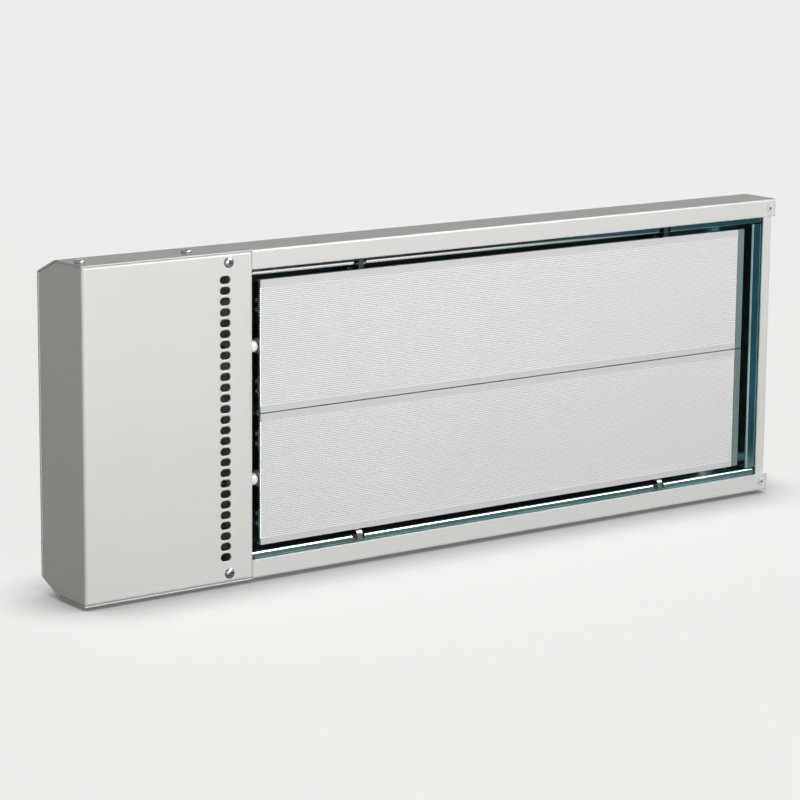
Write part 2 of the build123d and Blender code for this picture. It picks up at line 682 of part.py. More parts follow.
def rod_pins():
    """Cold pins that carry the current out of the rod."""
    length = PIN_PROUD + ROD_INSET
    pin = Pos(0, 0, length / 2) * Cylinder(PIN_RADIUS, length)
    return [along_x(LAMELLA_X0 + ROD_INSET, z, pin) for z in both_ways(LAMELLA_Z)]


def ceramic_bush():
    """White ceramic bead on a pin, domed at both ends, through the bulkhead."""
    bead = Pos(0, 0, BEAD_LENGTH / 2) * Cylinder(BEAD_RADIUS, BEAD_LENGTH)
    bead = fillet(bead.edges().filter_by(GeomType.CIRCLE), BEAD_ROUND)
    return bead - Pos(0, 0, BEAD_LENGTH / 2) * Cylinder(PIN_RADIUS, 2 * BEAD_LENGTH)


def crimp_sleeves():
    """Crimped sleeves that join the pins to the leads."""
    reach = PIN_PROUD - SLEEVE_LENGTH / 2
    sleeve = Cylinder(SLEEVE_RADIUS, SLEEVE_LENGTH) - Cylinder(PIN_RADIUS, SLEEVE_LENGTH)
    pair = []
    for z in both_ways(LAMELLA_Z):
        pair.append(along_x(LAMELLA_X0, z, Pos(0, 0, reach) * sleeve))
    return pair


def cross_strap(x):
    """Strap behind the lamellas with legs along the tray's walls and hooked tongues."""
    reach = TRAY_HALF - TRAY_BEND - STRAP_GAP
    tongue_y = TRAY_FRONT - TONGUE_STAND
    tip = TRAY_HALF + TONGUE_RISE
    y_back = STRAP_Y + STRAP_SHEET
    leg = [(tongue_y, tip), (tongue_y, reach), (y_back, reach)]
    rest = [(y_back, -reach), (tongue_y, -reach), (tongue_y, -tip)]
    section = folded(leg + rest, STRAP_BEND, STRAP_SHEET, Side.RIGHT)
    body = prism_x(section, x - STRAP_WIDTH / 2, x + STRAP_WIDTH / 2)
    for side in (1, -1):
        low = x + side * TONGUE_WIDTH / 2
        a, b = sorted((low, x + side * STRAP_WIDTH))
        body -= block((a, FRONT - 1, -TOP), (b, LAMELLA_FACE + BEYOND, TOP))
    for z in bolt_heights():
        hole = Cylinder(BOLT_RADIUS + SCREW_CLEARANCE, 2 * BEYOND)
        body -= facing((x, STRAP_Y, z), (0, 1, 0)) * hole
    return body


def bolt_heights():
    """Heights of the rails' middles, two on each lamella."""
    return [z + side * RAIL_OFFSET for z in both_ways(LAMELLA_Z) for side in (1, -1)]


def strap_bolts():
    """Hammer-head bolts that slide in the lamellas' rails."""
    head_y = PLATE_BACK + RAIL_PAD_HEIGHT + BOLT_PLAY
    width = RAIL_SLOT - 2 * BOLT_PLAY
    length = STRAP_Y + STRAP_SHEET + BOLT_PROUD - head_y
    head = Pos(0, 0, BOLT_HEAD_HEIGHT / 2) * Box(BOLT_HEAD_LENGTH, width, BOLT_HEAD_HEIGHT)
    bolt = head + Pos(0, 0, length / 2) * Cylinder(BOLT_RADIUS, length)
    return [facing((x, head_y, z), (0, 1, 0)) * bolt for x in STRAP_XS for z in bolt_heights()]


def strap_nuts():
    """Hexagon nuts behind the straps."""
    face = RegularPolygon(NUT_WIDTH / 2, 6, major_radius=False) - Circle(BOLT_RADIUS)
    nut = extrude(face, amount=NUT_HEIGHT)
    seat = STRAP_Y + STRAP_SHEET
    return [facing((x, seat, z), (0, 1, 0)) * nut for x in STRAP_XS for z in bolt_heights()]


BLOCK_X = LEFT + BLOCK_FROM_LEFT
BLOCK_HALF = POLE_COUNT * POLE_PITCH / 2 + BLOCK_END_MARGIN
BRACKET_Y = BACK - CASE_SHEET - BRACKET_HEIGHT
BLOCK_FRONT = BRACKET_Y - BLOCK_DEPTH
WIRE_Y = BRACKET_Y - CLAMP_FLOOR - CLAMP_SIZE / 2
POLE_ZS = [(i - (POLE_COUNT - 1) / 2) * POLE_PITCH for i in range(POLE_COUNT)]
EARTH_X = BULKHEAD_X - EARTH_FROM_BULKHEAD
EARTH_BASE = BACK - CASE_SHEET


def terminal_bracket():
    """Raised bridge welded to the back wall, so no screw breaks through the casing."""
    half = BLOCK_HALF + BRACKET_MARGIN
    top = BRACKET_Y
    foot = EARTH_BASE - BRACKET_SHEET
    points = [
        (foot, half + BRACKET_FOOT),
        (foot, half),
        (top, half),
        (top, -half),
        (foot, -half),
        (foot, -half - BRACKET_FOOT),
    ]
    section = folded(points, BRACKET_BEND, BRACKET_SHEET, Side.LEFT)
    body = prism_x(section, BLOCK_X - BLOCK_WIDTH / 2, BLOCK_X + BLOCK_WIDTH / 2)
    for point in block_screw_points():
        body -= facing(point, (0, -1, 0)) * Cylinder(TERMINAL_SCREW_RADIUS, 2 * BEYOND)
    return body


def block_screw_points():
    """Where the block's two fixing screws meet the bracket."""
    z = BLOCK_HALF - BLOCK_SCREW_INSET
    return [(BLOCK_X, BRACKET_Y, side * z) for side in (1, -1)]


def terminal_block():
    """Ceramic block with a well for each pole, wire ways on both sides and fixing holes."""
    seat = BRACKET_Y
    x0, x1 = BLOCK_X - BLOCK_WIDTH / 2, BLOCK_X + BLOCK_WIDTH / 2
    body = block((x0, BLOCK_FRONT, -BLOCK_HALF), (x1, seat, BLOCK_HALF))
    body = fillet(body.edges().filter_by(Axis.Y), BLOCK_CORNER)
    for z in POLE_ZS:
        well = (BLOCK_X - CLAMP_WIDTH / 2, BLOCK_FRONT, z - CLAMP_SIZE / 2)
        body -= block(well, (BLOCK_X + CLAMP_WIDTH / 2, seat - CLAMP_FLOOR, z + CLAMP_SIZE / 2))
        way = Cylinder(WIRE_COVER + CLAMP_PLAY / 2, 2 * BLOCK_WIDTH)
        body -= facing((BLOCK_X, WIRE_Y, z), (1, 0, 0)) * way
    for point in block_screw_points():
        body -= facing(point, (0, -1, 0)) * Cylinder(TERMINAL_SCREW_RADIUS, 3 * BLOCK_DEPTH)
    return body


def terminal_clamps():
    """Brass bars, bored for the wires and tapped for two screws each."""
    bar = Box(CLAMP_WIDTH - CLAMP_PLAY, CLAMP_SIZE, CLAMP_SIZE - CLAMP_PLAY)
    bar -= Rot(0, 90, 0) * Cylinder(WIRE_RADIUS + CLAMP_WAY_PLAY, CLAMP_WIDTH)
    for side in (1, -1):
        tap = Cylinder(TERMINAL_SCREW_RADIUS, CLAMP_SIZE)
        bar -= Pos(side * TERMINAL_SCREW_INSET, 0, 0) * Rot(90, 0, 0) * Pos(0, 0, CLAMP_SIZE / 2) * tap
    return [Pos(BLOCK_X, WIRE_Y, z) * bar for z in POLE_ZS]


def slotted_screw(length, head_radius, head_height):
    """Small cheese-head screw with one slot, seat at height zero."""
    body = Pos(0, 0, -length / 2) * Cylinder(TERMINAL_SCREW_RADIUS, length)
    body += Pos(0, 0, head_height / 2) * Cylinder(head_radius, head_height)
    return body - Pos(0, 0, head_height) * Box(DRIVER_SLOT, 3 * head_radius, head_height)


def terminal_screws():
    """Two clamping screws in each brass bar."""
    seat = WIRE_Y - CLAMP_SIZE / 2
    screw = slotted_screw(CLAMP_SIZE / 2 - WIRE_RADIUS, TERMINAL_HEAD_RADIUS, TERMINAL_HEAD_HEIGHT)
    return [
        facing((BLOCK_X + side * TERMINAL_SCREW_INSET, seat, z), (0, -1, 0)) * screw
        for z in POLE_ZS
        for side in (1, -1)
    ]


def block_screws():
    """Two screws that hold the block to its bracket."""
    length = BLOCK_DEPTH + BRACKET_SHEET + BLOCK_SCREW_PROUD
    screw = slotted_screw(length, BLOCK_HEAD_RADIUS, BLOCK_HEAD_HEIGHT)
    return [Pos(0, -BLOCK_DEPTH, 0) * facing(p, (0, -1, 0)) * screw for p in block_screw_points()]


def earth_place():
    """Place of the earth stud on the inside of the back wall."""
    return facing((EARTH_X, EARTH_BASE, -EARTH_BELOW), (0, -1, 0))


def earth_stud():
    """Stud welded to the back wall, with its collar."""
    stud = Pos(0, 0, EARTH_LENGTH / 2) * Cylinder(EARTH_RADIUS, EARTH_LENGTH)
    collar = Pos(0, 0, EARTH_COLLAR / 2) * Cylinder(EARTH_RADIUS + EARTH_COLLAR, EARTH_COLLAR)
    return earth_place() * (stud + collar)


def earth_lug():
    """Ring lug with a folded barrel for the earth lead."""
    ring = Circle(LUG_RADIUS) + Pos(0, LUG_TAIL / 2) * Rectangle(2 * WIRE_COVER, LUG_TAIL)
    ring -= Circle(EARTH_RADIUS)
    plate = extrude(ring, amount=LUG_SHEET)
    return earth_place() * Pos(0, 0, EARTH_COLLAR) * plate


def earth_washer():
    """Washer on the lug."""
    ring = Circle(EARTH_WASHER_RADIUS) - Circle(EARTH_RADIUS)
    seat = EARTH_COLLAR + LUG_SHEET
    return earth_place() * Pos(0, 0, seat) * extrude(ring, amount=EARTH_WASHER_SHEET)


def earth_nut():
    """Hexagon nut on the earth stud."""
    face = RegularPolygon(EARTH_NUT_WIDTH / 2, 6, major_radius=False) - Circle(EARTH_RADIUS)
    seat = EARTH_COLLAR + LUG_SHEET + EARTH_WASHER_SHEET
    return earth_place() * Pos(0, 0, seat) * extrude(face, amount=EARTH_NUT_HEIGHT)


def wire(points, bend, radius):
    """Round wire along straight runs and tangent arcs."""
    path = FilletPolyline(*points, radius=bend)
    return sweep(Plane(path @ 0, z_dir=path % 0) * Circle(radius), path=path)


def rod_lead(side):
    """Sleeved lead from a pin's crimp to the terminal block."""
    start = LAMELLA_X0 - PIN_PROUD
    pole = POLE_ZS[-1] if side > 0 else POLE_ZS[0]
    entry = BLOCK_X + BLOCK_WIDTH / 2
    points = [
        (start, ROD_Y, side * LAMELLA_Z),
        (start - LEAD_OUT, ROD_Y, side * LAMELLA_Z),
        (entry + LEAD_IN, WIRE_Y, pole),
        (BLOCK_X + TERMINAL_SCREW_INSET + CLAMP_SIZE, WIRE_Y, pole),
    ]
    return wire(points, LEAD_BEND, WIRE_COVER)


def earth_lead():
    """Sleeved earth lead from the lug to the block's middle pole."""
    entry = BLOCK_X + BLOCK_WIDTH / 2
    y = EARTH_BASE - EARTH_COLLAR - LUG_SHEET - WIRE_COVER
    z = LUG_TAIL - EARTH_BELOW
    middle = POLE_ZS[POLE_COUNT // 2]
    points = [
        (EARTH_X, y, z - EARTH_LEAD_HALF),
        (EARTH_X, y, z + EARTH_LEAD_HALF),
        (entry + EARTH_LEAD_IN, WIRE_Y, middle),
        (BLOCK_X + TERMINAL_SCREW_INSET + CLAMP_SIZE, WIRE_Y, middle),
    ]
    return wire(points, LEAD_BEND, WIRE_COVER)


def save(name, solids):
    """Write one named piece, or a group of like pieces, to its own file."""
    if isinstance(solids, list):
        solids = Compound(children=[s for item in solids for s in item.solids()])
    export_step(solids, f"parts/{name}.step")


save("casing", casing())
save("rear_inserts", rear_inserts())
save("cable_grommet", cable_grommet())
save("terminal_cover", terminal_cover())
save("cover_front_screws", cover_front_screws())
save("cover_side_screws", cover_side_screws())
save("cover_side_nuts", cover_side_nuts())
save("end_cap", end_cap())
save("end_cap_rivets", end_cap_rivets())
save("bulkhead", bulkhead())
save("reflector_tray", reflector_tray())
save("tray_end", tray_end())
save("insulation_mat", insulation_mat())
save("lamella_upper", lamella(LAMELLA_Z))
save("lamella_lower", lamella(-LAMELLA_Z))
save("heating_rod", heating_rod())
save("rod_pins", rod_pins())
save("ceramic_bush_upper", along_x(LAMELLA_X0, LAMELLA_Z, ceramic_bush()))
save("ceramic_bush_lower", along_x(LAMELLA_X0, -LAMELLA_Z, ceramic_bush()))
save("crimp_sleeves", crimp_sleeves())
save("cross_strap_left", cross_strap(STRAP_XS[0]))
save("cross_strap_right", cross_strap(STRAP_XS[1]))
save("strap_bolts", strap_bolts())
save("strap_nuts", strap_nuts())
save("terminal_bracket", terminal_bracket())
save("terminal_block", terminal_block())
save("terminal_clamps", terminal_clamps())
save("terminal_screws", terminal_screws())
save("block_screws", block_screws())
save("earth_stud", earth_stud())
save("earth_lug", earth_lug())
save("earth_washer", earth_washer())
save("earth_nut", earth_nut())
save("lead_upper", rod_lead(1))
save("lead_lower", rod_lead(-1))
save("earth_lead", earth_lead())
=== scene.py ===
from math import cos, pi, radians, sin

import bmesh
import bpy
from mathutils import Matrix, Vector, noise


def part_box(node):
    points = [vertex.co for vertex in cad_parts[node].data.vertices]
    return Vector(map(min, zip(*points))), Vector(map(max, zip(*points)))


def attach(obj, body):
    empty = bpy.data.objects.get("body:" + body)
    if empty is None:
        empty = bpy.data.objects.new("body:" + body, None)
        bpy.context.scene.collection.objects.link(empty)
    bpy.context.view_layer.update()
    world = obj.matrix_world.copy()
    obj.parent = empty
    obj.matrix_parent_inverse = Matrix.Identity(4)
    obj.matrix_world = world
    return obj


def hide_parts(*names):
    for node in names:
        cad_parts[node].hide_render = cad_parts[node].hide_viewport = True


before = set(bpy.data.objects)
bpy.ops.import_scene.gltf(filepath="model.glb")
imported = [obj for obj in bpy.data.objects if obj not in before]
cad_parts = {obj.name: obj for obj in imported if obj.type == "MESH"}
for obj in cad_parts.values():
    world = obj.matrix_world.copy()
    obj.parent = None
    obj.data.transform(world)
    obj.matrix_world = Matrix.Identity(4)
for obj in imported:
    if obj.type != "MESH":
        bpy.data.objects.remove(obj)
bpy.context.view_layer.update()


# Casing, terminal cover and end cap: 1 mm steel sheet, folded, then powder coated light grey.
# The powder melts into a fine pebbled skin of low gloss, so flats look even and bends catch light.
def linear(code):
    """Linear colour for a sRGB hex value."""
    parts = [int(code[i:i + 2], 16) / 255 for i in (1, 3, 5)]
    return [c / 12.92 if c <= 0.04045 else ((c + 0.055) / 1.055) ** 2.4 for c in parts] + [1.0]


def add(tree, kind, inputs=None, **settings):
    """Adds a node: settings fill its properties, inputs fill or link its sockets."""
    made = tree.nodes.new(kind)
    for key, value in settings.items():
        setattr(made, key, value)
    for key, value in (inputs or {}).items():
        if isinstance(value, bpy.types.NodeSocket):
            tree.links.new(value, made.inputs[key])
        else:
            made.inputs[key].default_value = value
    return made


def bare_tree(owner):
    """Empty node tree of a material or a world."""
    owner.use_nodes = True
    owner.node_tree.nodes.clear()
    return owner.node_tree


def finish(name):
    """Starts a material: its tree, its shader and the place on the object in metres."""
    material = bpy.data.materials.new(name)
    tree = bare_tree(material)
    shader = add(tree, "ShaderNodeBsdfPrincipled")
    add(tree, "ShaderNodeOutputMaterial", {"Surface": shader.outputs[0]})
    place = add(tree, "ShaderNodeTexCoord").outputs["Object"]
    return material, tree, shader, place


def dress(material, *names):
    """Gives CAD nodes one finish."""
    for name in names:
        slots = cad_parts[name].data.materials
        slots.clear()
        slots.append(material)


# Pebbles of the real coat are about 0.6 mm across and are drawn at about 1.4 mm to show.
PATCHES_PER_METRE = 9.0
PEBBLES_PER_METRE = 700.0
PEBBLE_DEPTH = 0.00015
FOLD_SHINE = 0.0018
powder_coat, tree, shader, place = finish("powder_coated_steel")
cloud = add(
    tree, "ShaderNodeTexNoise", {"Vector": place, "Scale": PATCHES_PER_METRE, "Detail": 3.0},
)
# A colour mix has its factor at socket 0, its two colours at 6 and 7, and its result at output 2.
tone = add(
    tree, "ShaderNodeMix",
    {0: cloud.outputs[0], 6: linear("#DCDCDA"), 7: linear("#E2E2E0")}, data_type="RGBA",
)
pebble = add(
    tree, "ShaderNodeTexNoise", {"Vector": place, "Scale": PEBBLES_PER_METRE, "Detail": 2.0},
)
fold = add(tree, "ShaderNodeBevel", {"Radius": FOLD_SHINE}, samples=6)
skin = add(
    tree, "ShaderNodeBump",
    {
        "Height": pebble.outputs[0], "Strength": 0.05, "Distance": PEBBLE_DEPTH,
        "Normal": fold.outputs[0],
    },
)
gloss = add(
    tree, "ShaderNodeMapRange", {"Value": pebble.outputs[0], "To Min": 0.27, "To Max": 0.33},
)
shader.inputs["Specular IOR Level"].default_value = 0.3
tree.links.new(tone.outputs[2], shader.inputs["Base Color"])
tree.links.new(gloss.outputs[0], shader.inputs["Roughness"])
tree.links.new(skin.outputs[0], shader.inputs["Normal"])
dress(powder_coat, "casing", "terminal_cover", "end_cap")


# Reflector tray and its end piece: bright galvanised sheet, folded to a gutter, with a blue-green
# passivation tint. Zinc freezes in feathered crystals about 6 mm wide that differ in gloss.
# The long folds are shaded softer than their tight radius, more so towards the left, and a painted
# highlight whitens the colour in a tilted band along the mouth, strongest at the left and weaker at
# the bottom. The band is wider at the top than at the bottom.
TRAY_CRYSTALS_PER_METRE = 170.0
CRYSTAL_SHARE = 0.10
FROST_PER_METRE = 900.0
FROST_DEPTH = 0.0002
LIP_Z = 0.1
FOLD_START = 0.1049
FOLD_END_TOP = 0.1077
FOLD_END_LOW = 0.1063
FOLD_SLOPE = 0.25
TILT_AND_HIGHLIGHT_FROM = 0.30
TILT_AND_HIGHLIGHT_FULL = -0.06
LOWER_HIGHLIGHT_SHARE = 0.15
zinc_sheet, tree, shader, place = finish("passivated_galvanised_sheet")
crystal = add(
    tree, "ShaderNodeTexVoronoi",
    {"Vector": place, "Scale": TRAY_CRYSTALS_PER_METRE, "Randomness": 1.0},
)
grain = add(tree, "ShaderNodeSeparateColor", {0: crystal.outputs["Color"]})
drift = add(tree, "ShaderNodeTexNoise", {"Vector": place, "Scale": 12.0, "Detail": 2.0})
blend = add(
    tree, "ShaderNodeMath",
    {0: grain.outputs[0], 1: CRYSTAL_SHARE, 2: drift.outputs[0]}, operation="MULTIPLY_ADD",
)
level = add(
    tree, "ShaderNodeMapRange", {"Value": blend.outputs[0], "From Min": 0.35, "From Max": 0.75},
)
tint = add(
    tree, "ShaderNodeMix",
    {0: level.outputs[0], 6: linear("#7E9EA0"), 7: linear("#9DB6B6")}, data_type="RGBA",
)
gloss = add(
    tree, "ShaderNodeMapRange", {"Value": grain.outputs[1], "To Min": 0.10, "To Max": 0.15},
)
frost = add(
    tree, "ShaderNodeTexNoise", {"Vector": place, "Scale": FROST_PER_METRE, "Detail": 3.0},
)
relief = add(
    tree, "ShaderNodeBump", {"Height": frost.outputs[0], "Strength": 0.03, "Distance": FROST_DEPTH},
)
axes = add(tree, "ShaderNodeSeparateXYZ", {0: place})
off_middle = add(tree, "ShaderNodeMath", {0: axes.outputs["Z"]}, operation="ABSOLUTE")
fold_end = add(
    tree, "ShaderNodeMapRange",
    {
        "Value": axes.outputs["Z"], "From Min": -LIP_Z, "From Max": LIP_Z,
        "To Min": FOLD_END_LOW, "To Max": FOLD_END_TOP,
    },
)
inward = add(
    tree, "ShaderNodeMath",
    {0: fold_end.outputs[0], 1: off_middle.outputs[0]}, operation="SUBTRACT",
)
past_end = add(tree, "ShaderNodeMath", {0: inward.outputs[0], 1: 0.0}, operation="MAXIMUM")
leftward = add(
    tree, "ShaderNodeMapRange",
    {
        "Value": axes.outputs["X"], "From Min": TILT_AND_HIGHLIGHT_FULL, "From Max": TILT_AND_HIGHLIGHT_FROM,
        "To Min": 1.0, "To Max": 0.0,
    },
)
fade = add(
    tree, "ShaderNodeMapRange", {"Value": leftward.outputs[0], "From Max": 0.5, "To Min": 0.1},
)
slant = add(
    tree, "ShaderNodeMath",
    {0: past_end.outputs[0], 1: fade.outputs[0]}, operation="MULTIPLY",
)
fold = add(
    tree, "ShaderNodeBump",
    {
        "Height": slant.outputs[0], "Strength": 1.0, "Distance": FOLD_SLOPE,
        "Normal": relief.outputs[0],
    },
    invert=True,
)
on_flat = add(
    tree, "ShaderNodeMath",
    {0: off_middle.outputs[0], 1: FOLD_START}, operation="GREATER_THAN",
)
in_fold = add(tree, "ShaderNodeMath", {0: inward.outputs[0], 1: 0.0}, operation="GREATER_THAN")
band = add(
    tree, "ShaderNodeMath",
    {0: on_flat.outputs[0], 1: in_fold.outputs[0]}, operation="MULTIPLY",
)
higher = add(
    tree, "ShaderNodeMapRange",
    {
        "Value": axes.outputs["Z"], "From Min": -LIP_Z, "From Max": LIP_Z,
        "To Min": LOWER_HIGHLIGHT_SHARE, "To Max": 1.0,
    },
)
# Painted highlight: the fold band's colour is whitened, most at the left and least at the bottom.
painted_highlight = add(
    tree, "ShaderNodeMath",
    {0: leftward.outputs[0], 1: higher.outputs[0]}, operation="MULTIPLY",
)
bright = add(
    tree, "ShaderNodeMath", {0: band.outputs[0], 1: painted_highlight.outputs[0]}, operation="MULTIPLY",
)
colour = add(
    tree, "ShaderNodeMix",
    {0: bright.outputs[0], 6: tint.outputs[2], 7: linear("#F6F9F9")}, data_type="RGBA",
)
shader.inputs["Metallic"].default_value = 0.95
tree.links.new(colour.outputs[2], shader.inputs["Base Color"])
tree.links.new(gloss.outputs[0], shader.inputs["Roughness"])
tree.links.new(fold.outputs[0], shader.inputs["Normal"])
dress(zinc_sheet, "reflector_tray", "tray_end")


# Bulkhead and terminal bracket: folded galvanised sheet without a tint, behind the cover.
# Their zinc crystals are about 7 mm wide and differ in tone and gloss.
CRYSTALS_PER_METRE = 150.0
plain_zinc, tree, shader, place = finish("plain_galvanised_sheet")
crystal = add(
    tree, "ShaderNodeTexVoronoi",
    {"Vector": place, "Scale": CRYSTALS_PER_METRE, "Randomness": 1.0},
)
grain = add(tree, "ShaderNodeSeparateColor", {0: crystal.outputs["Color"]})
tint = add(
    tree, "ShaderNodeMix",
    {0: grain.outputs[0], 6: linear("#9AA09F"), 7: linear("#B8BDBC")}, data_type="RGBA",
)
gloss = add(
    tree, "ShaderNodeMapRange", {"Value": grain.outputs[1], "To Min": 0.30, "To Max": 0.48},
)
shader.inputs["Metallic"].default_value = 1.0
tree.links.new(tint.outputs[2], shader.inputs["Base Color"])
tree.links.new(gloss.outputs[0], shader.inputs["Roughness"])
dress(plain_zinc, "bulkhead", "terminal_bracket")


# Cross straps: galvanised steel strip that the lamellas are bolted to; its ends show at the tray's
# lips. Painted shade darkens the upper ends while the lower ones are left light, and random stains
# mottle both.
STAINS_PER_METRE = 160.0
dull_strap, tree, shader, place = finish("dull_galvanised_strap")
stain = add(
    tree, "ShaderNodeTexNoise", {"Vector": place, "Scale": STAINS_PER_METRE, "Detail": 4.0},
)
axes = add(tree, "ShaderNodeSeparateXYZ", {0: place})
# Painted shade: the colour runs from light at the bottom to near black at the top.
upper = add(
    tree, "ShaderNodeMapRange",
    {"Value": axes.outputs["Z"], "From Min": -LIP_Z, "From Max": LIP_Z},
)
plain = add(
    tree, "ShaderNodeMix",
    {0: upper.outputs[0], 6: linear("#8A9999"), 7: linear("#1F2628")}, data_type="RGBA",
)
tint = add(
    tree, "ShaderNodeMix",
    {0: stain.outputs[0], 6: plain.outputs[2], 7: linear("#4A5557")}, data_type="RGBA",
)
gloss = add(
    tree, "ShaderNodeMapRange", {"Value": stain.outputs[0], "To Min": 0.28, "To Max": 0.46},
)
shader.inputs["Metallic"].default_value = 1.0
tree.links.new(tint.outputs[2], shader.inputs["Base Color"])
tree.links.new(gloss.outputs[0], shader.inputs["Roughness"])
dress(dull_strap, "cross_strap_left", "cross_strap_right")


# Lamellas: ribbed aluminium extrusions, sawn to length, with a pale mineral coat on the face.
# The coat is matt with a few grey flecks, with painted shade in the grooves and along the plain
# edges, and it stops short of the milled end. Backs, sawn ends and the milled strip are bare
# aluminium.
FACE = -0.0575
GROOVE = 0.00045
RIB_MARGIN = 0.0047
FACE_BACK = -0.0562
SAW_EDGE = 0.0003
BARE_END = 0.0068
STEP_SHADE_WIDTH = 0.0004
GROOVE_START = 0.1
EDGE_SHADE_SHARE = 0.8
CLOUDS_PER_METRE = 14.0
FLECKS_PER_METRE = 420.0
# The two mirror each other, so the upper one's box and the distance from the middle serve both.
lamella_low, lamella_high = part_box("lamella_upper")
mineral_coat, tree, shader, place = finish("mineral_coated_aluminium")
axes = add(tree, "ShaderNodeSeparateXYZ", {0: place})
in_front = add(
    tree, "ShaderNodeMath", {0: axes.outputs["Y"], 1: FACE_BACK}, operation="LESS_THAN",
)
past_start = add(
    tree, "ShaderNodeMath",
    {0: axes.outputs["X"], 1: lamella_low.x + SAW_EDGE}, operation="GREATER_THAN",
)
before_end = add(
    tree, "ShaderNodeMath",
    {0: axes.outputs["X"], 1: lamella_high.x - BARE_END}, operation="LESS_THAN",
)
inside = add(
    tree, "ShaderNodeMath",
    {0: past_start.outputs[0], 1: before_end.outputs[0]}, operation="MULTIPLY",
)
coated = add(
    tree, "ShaderNodeMath", {0: in_front.outputs[0], 1: inside.outputs[0]}, operation="MULTIPLY",
)
cloud = add(
    tree, "ShaderNodeTexNoise", {"Vector": place, "Scale": CLOUDS_PER_METRE, "Detail": 4.0},
)
coat_tone = add(
    tree, "ShaderNodeMix",
    {0: cloud.outputs[0], 6: linear("#D5D5D7"), 7: linear("#DBDBDD")}, data_type="RGBA",
)
# Painted shade: the grooves and the plain edges are darkened towards a dull grey.
depth = add(
    tree, "ShaderNodeMapRange",
    {
        "Value": axes.outputs["Y"], "From Min": FACE + GROOVE_START * GROOVE,
        "From Max": FACE + GROOVE,
    },
)
height = add(tree, "ShaderNodeMath", {0: axes.outputs["Z"]}, operation="ABSOLUTE")
off_centre = add(
    tree, "ShaderNodeMath",
    {0: height.outputs[0], 1: (lamella_low.z + lamella_high.z) / 2}, operation="SUBTRACT",
)
aside = add(tree, "ShaderNodeMath", {0: off_centre.outputs[0]}, operation="ABSOLUTE")
ribs_end = (lamella_high.z - lamella_low.z) / 2 - RIB_MARGIN
plain_edge = add(
    tree, "ShaderNodeMath", {0: aside.outputs[0], 1: ribs_end}, operation="GREATER_THAN",
)
edge_painted_shade = add(
    tree, "ShaderNodeMath", {0: plain_edge.outputs[0], 1: EDGE_SHADE_SHARE}, operation="MULTIPLY",
)
painted_shade_share = add(
    tree, "ShaderNodeMath", {0: depth.outputs[0], 1: edge_painted_shade.outputs[0]}, operation="MAXIMUM",
)
with_painted_shade = add(
    tree, "ShaderNodeMix",
    {0: painted_shade_share.outputs[0], 6: coat_tone.outputs[2], 7: linear("#CACACD")}, data_type="RGBA",
)
fleck = add(
    tree, "ShaderNodeTexNoise", {"Vector": place, "Scale": FLECKS_PER_METRE, "Detail": 1.0},
)
rare = add(
    tree, "ShaderNodeMapRange",
    {"Value": fleck.outputs[0], "From Min": 0.76, "From Max": 0.80},
)
specked = add(
    tree, "ShaderNodeMix",
    {0: rare.outputs[0], 6: with_painted_shade.outputs[2], 7: linear("#B4B1AB")}, data_type="RGBA",
)
# Die lines are drawn out along the extrusion and about 1 mm apart.
die_line = add(tree, "ShaderNodeMapping", {0: place, 3: (6.0, 900.0, 900.0)})
streak = add(
    tree, "ShaderNodeTexNoise", {"Vector": die_line.outputs[0], "Scale": 1.0, "Detail": 2.0},
)
metal_tone = add(
    tree, "ShaderNodeMix",
    {0: streak.outputs[0], 6: linear("#7C8E8D"), 7: linear("#93A4A2")}, data_type="RGBA",
)
colour = add(
    tree, "ShaderNodeMix",
    {0: coated.outputs[0], 6: metal_tone.outputs[2], 7: specked.outputs[2]}, data_type="RGBA",
)
sawn = add(
    tree, "ShaderNodeMath",
    {0: axes.outputs["X"], 1: lamella_low.x + SAW_EDGE}, operation="LESS_THAN",
)
colour = add(
    tree, "ShaderNodeMix",
    {0: sawn.outputs[0], 6: colour.outputs[2], 7: linear("#949C9B")}, data_type="RGBA",
)
# Painted shade: a thin dark line where the coat stops at the milled step.
step_shade = add(
    tree, "ShaderNodeMath",
    {0: axes.outputs["X"], 1: lamella_high.x - BARE_END, 2: STEP_SHADE_WIDTH}, operation="COMPARE",
)
colour = add(
    tree, "ShaderNodeMix",
    {0: step_shade.outputs[0], 6: colour.outputs[2], 7: linear("#4A5152")}, data_type="RGBA",
)
metallic = add(
    tree, "ShaderNodeMapRange", {"Value": coated.outputs[0], "To Min": 0.6, "To Max": 0.0},
)
gloss = add(
    tree, "ShaderNodeMapRange", {"Value": coated.outputs[0], "To Min": 0.34, "To Max": 0.62},
)
tree.links.new(colour.outputs[2], shader.inputs["Base Color"])
tree.links.new(metallic.outputs[0], shader.inputs["Metallic"])
tree.links.new(gloss.outputs[0], shader.inputs["Roughness"])
dress(mineral_coat, "lamella_upper", "lamella_lower")


# Cover screws: M4 pan heads with a cross recess, cold formed and bright zinc plated.
# Two hold the cover's face and four go through the top and bottom walls.
SCREW_STEPS = 40
SHANK_RADIUS = 0.0020
THREAD_DEPTH = 0.0003
THREAD_PITCH = 0.0007
SHANK_LENGTH = 0.0100
HEAD_RADIUS = 0.0040
HEAD_HEIGHT = 0.0025
HEAD_SIDE = 0.0007
RECESS_TOP = (0.00062, 0.0023)
RECESS_FLOOR = (0.00035, 0.0008)
RECESS_DEPTH = 0.0018
RECESS_OVERCUT = 0.0002
SEAT_SHARE = 0.97
HEAD_CHAMFER = 0.0001
DOME_STEPS = 8
DOME_WIDTH_POWER = 0.8
DOME_HEIGHT_POWER = 0.85


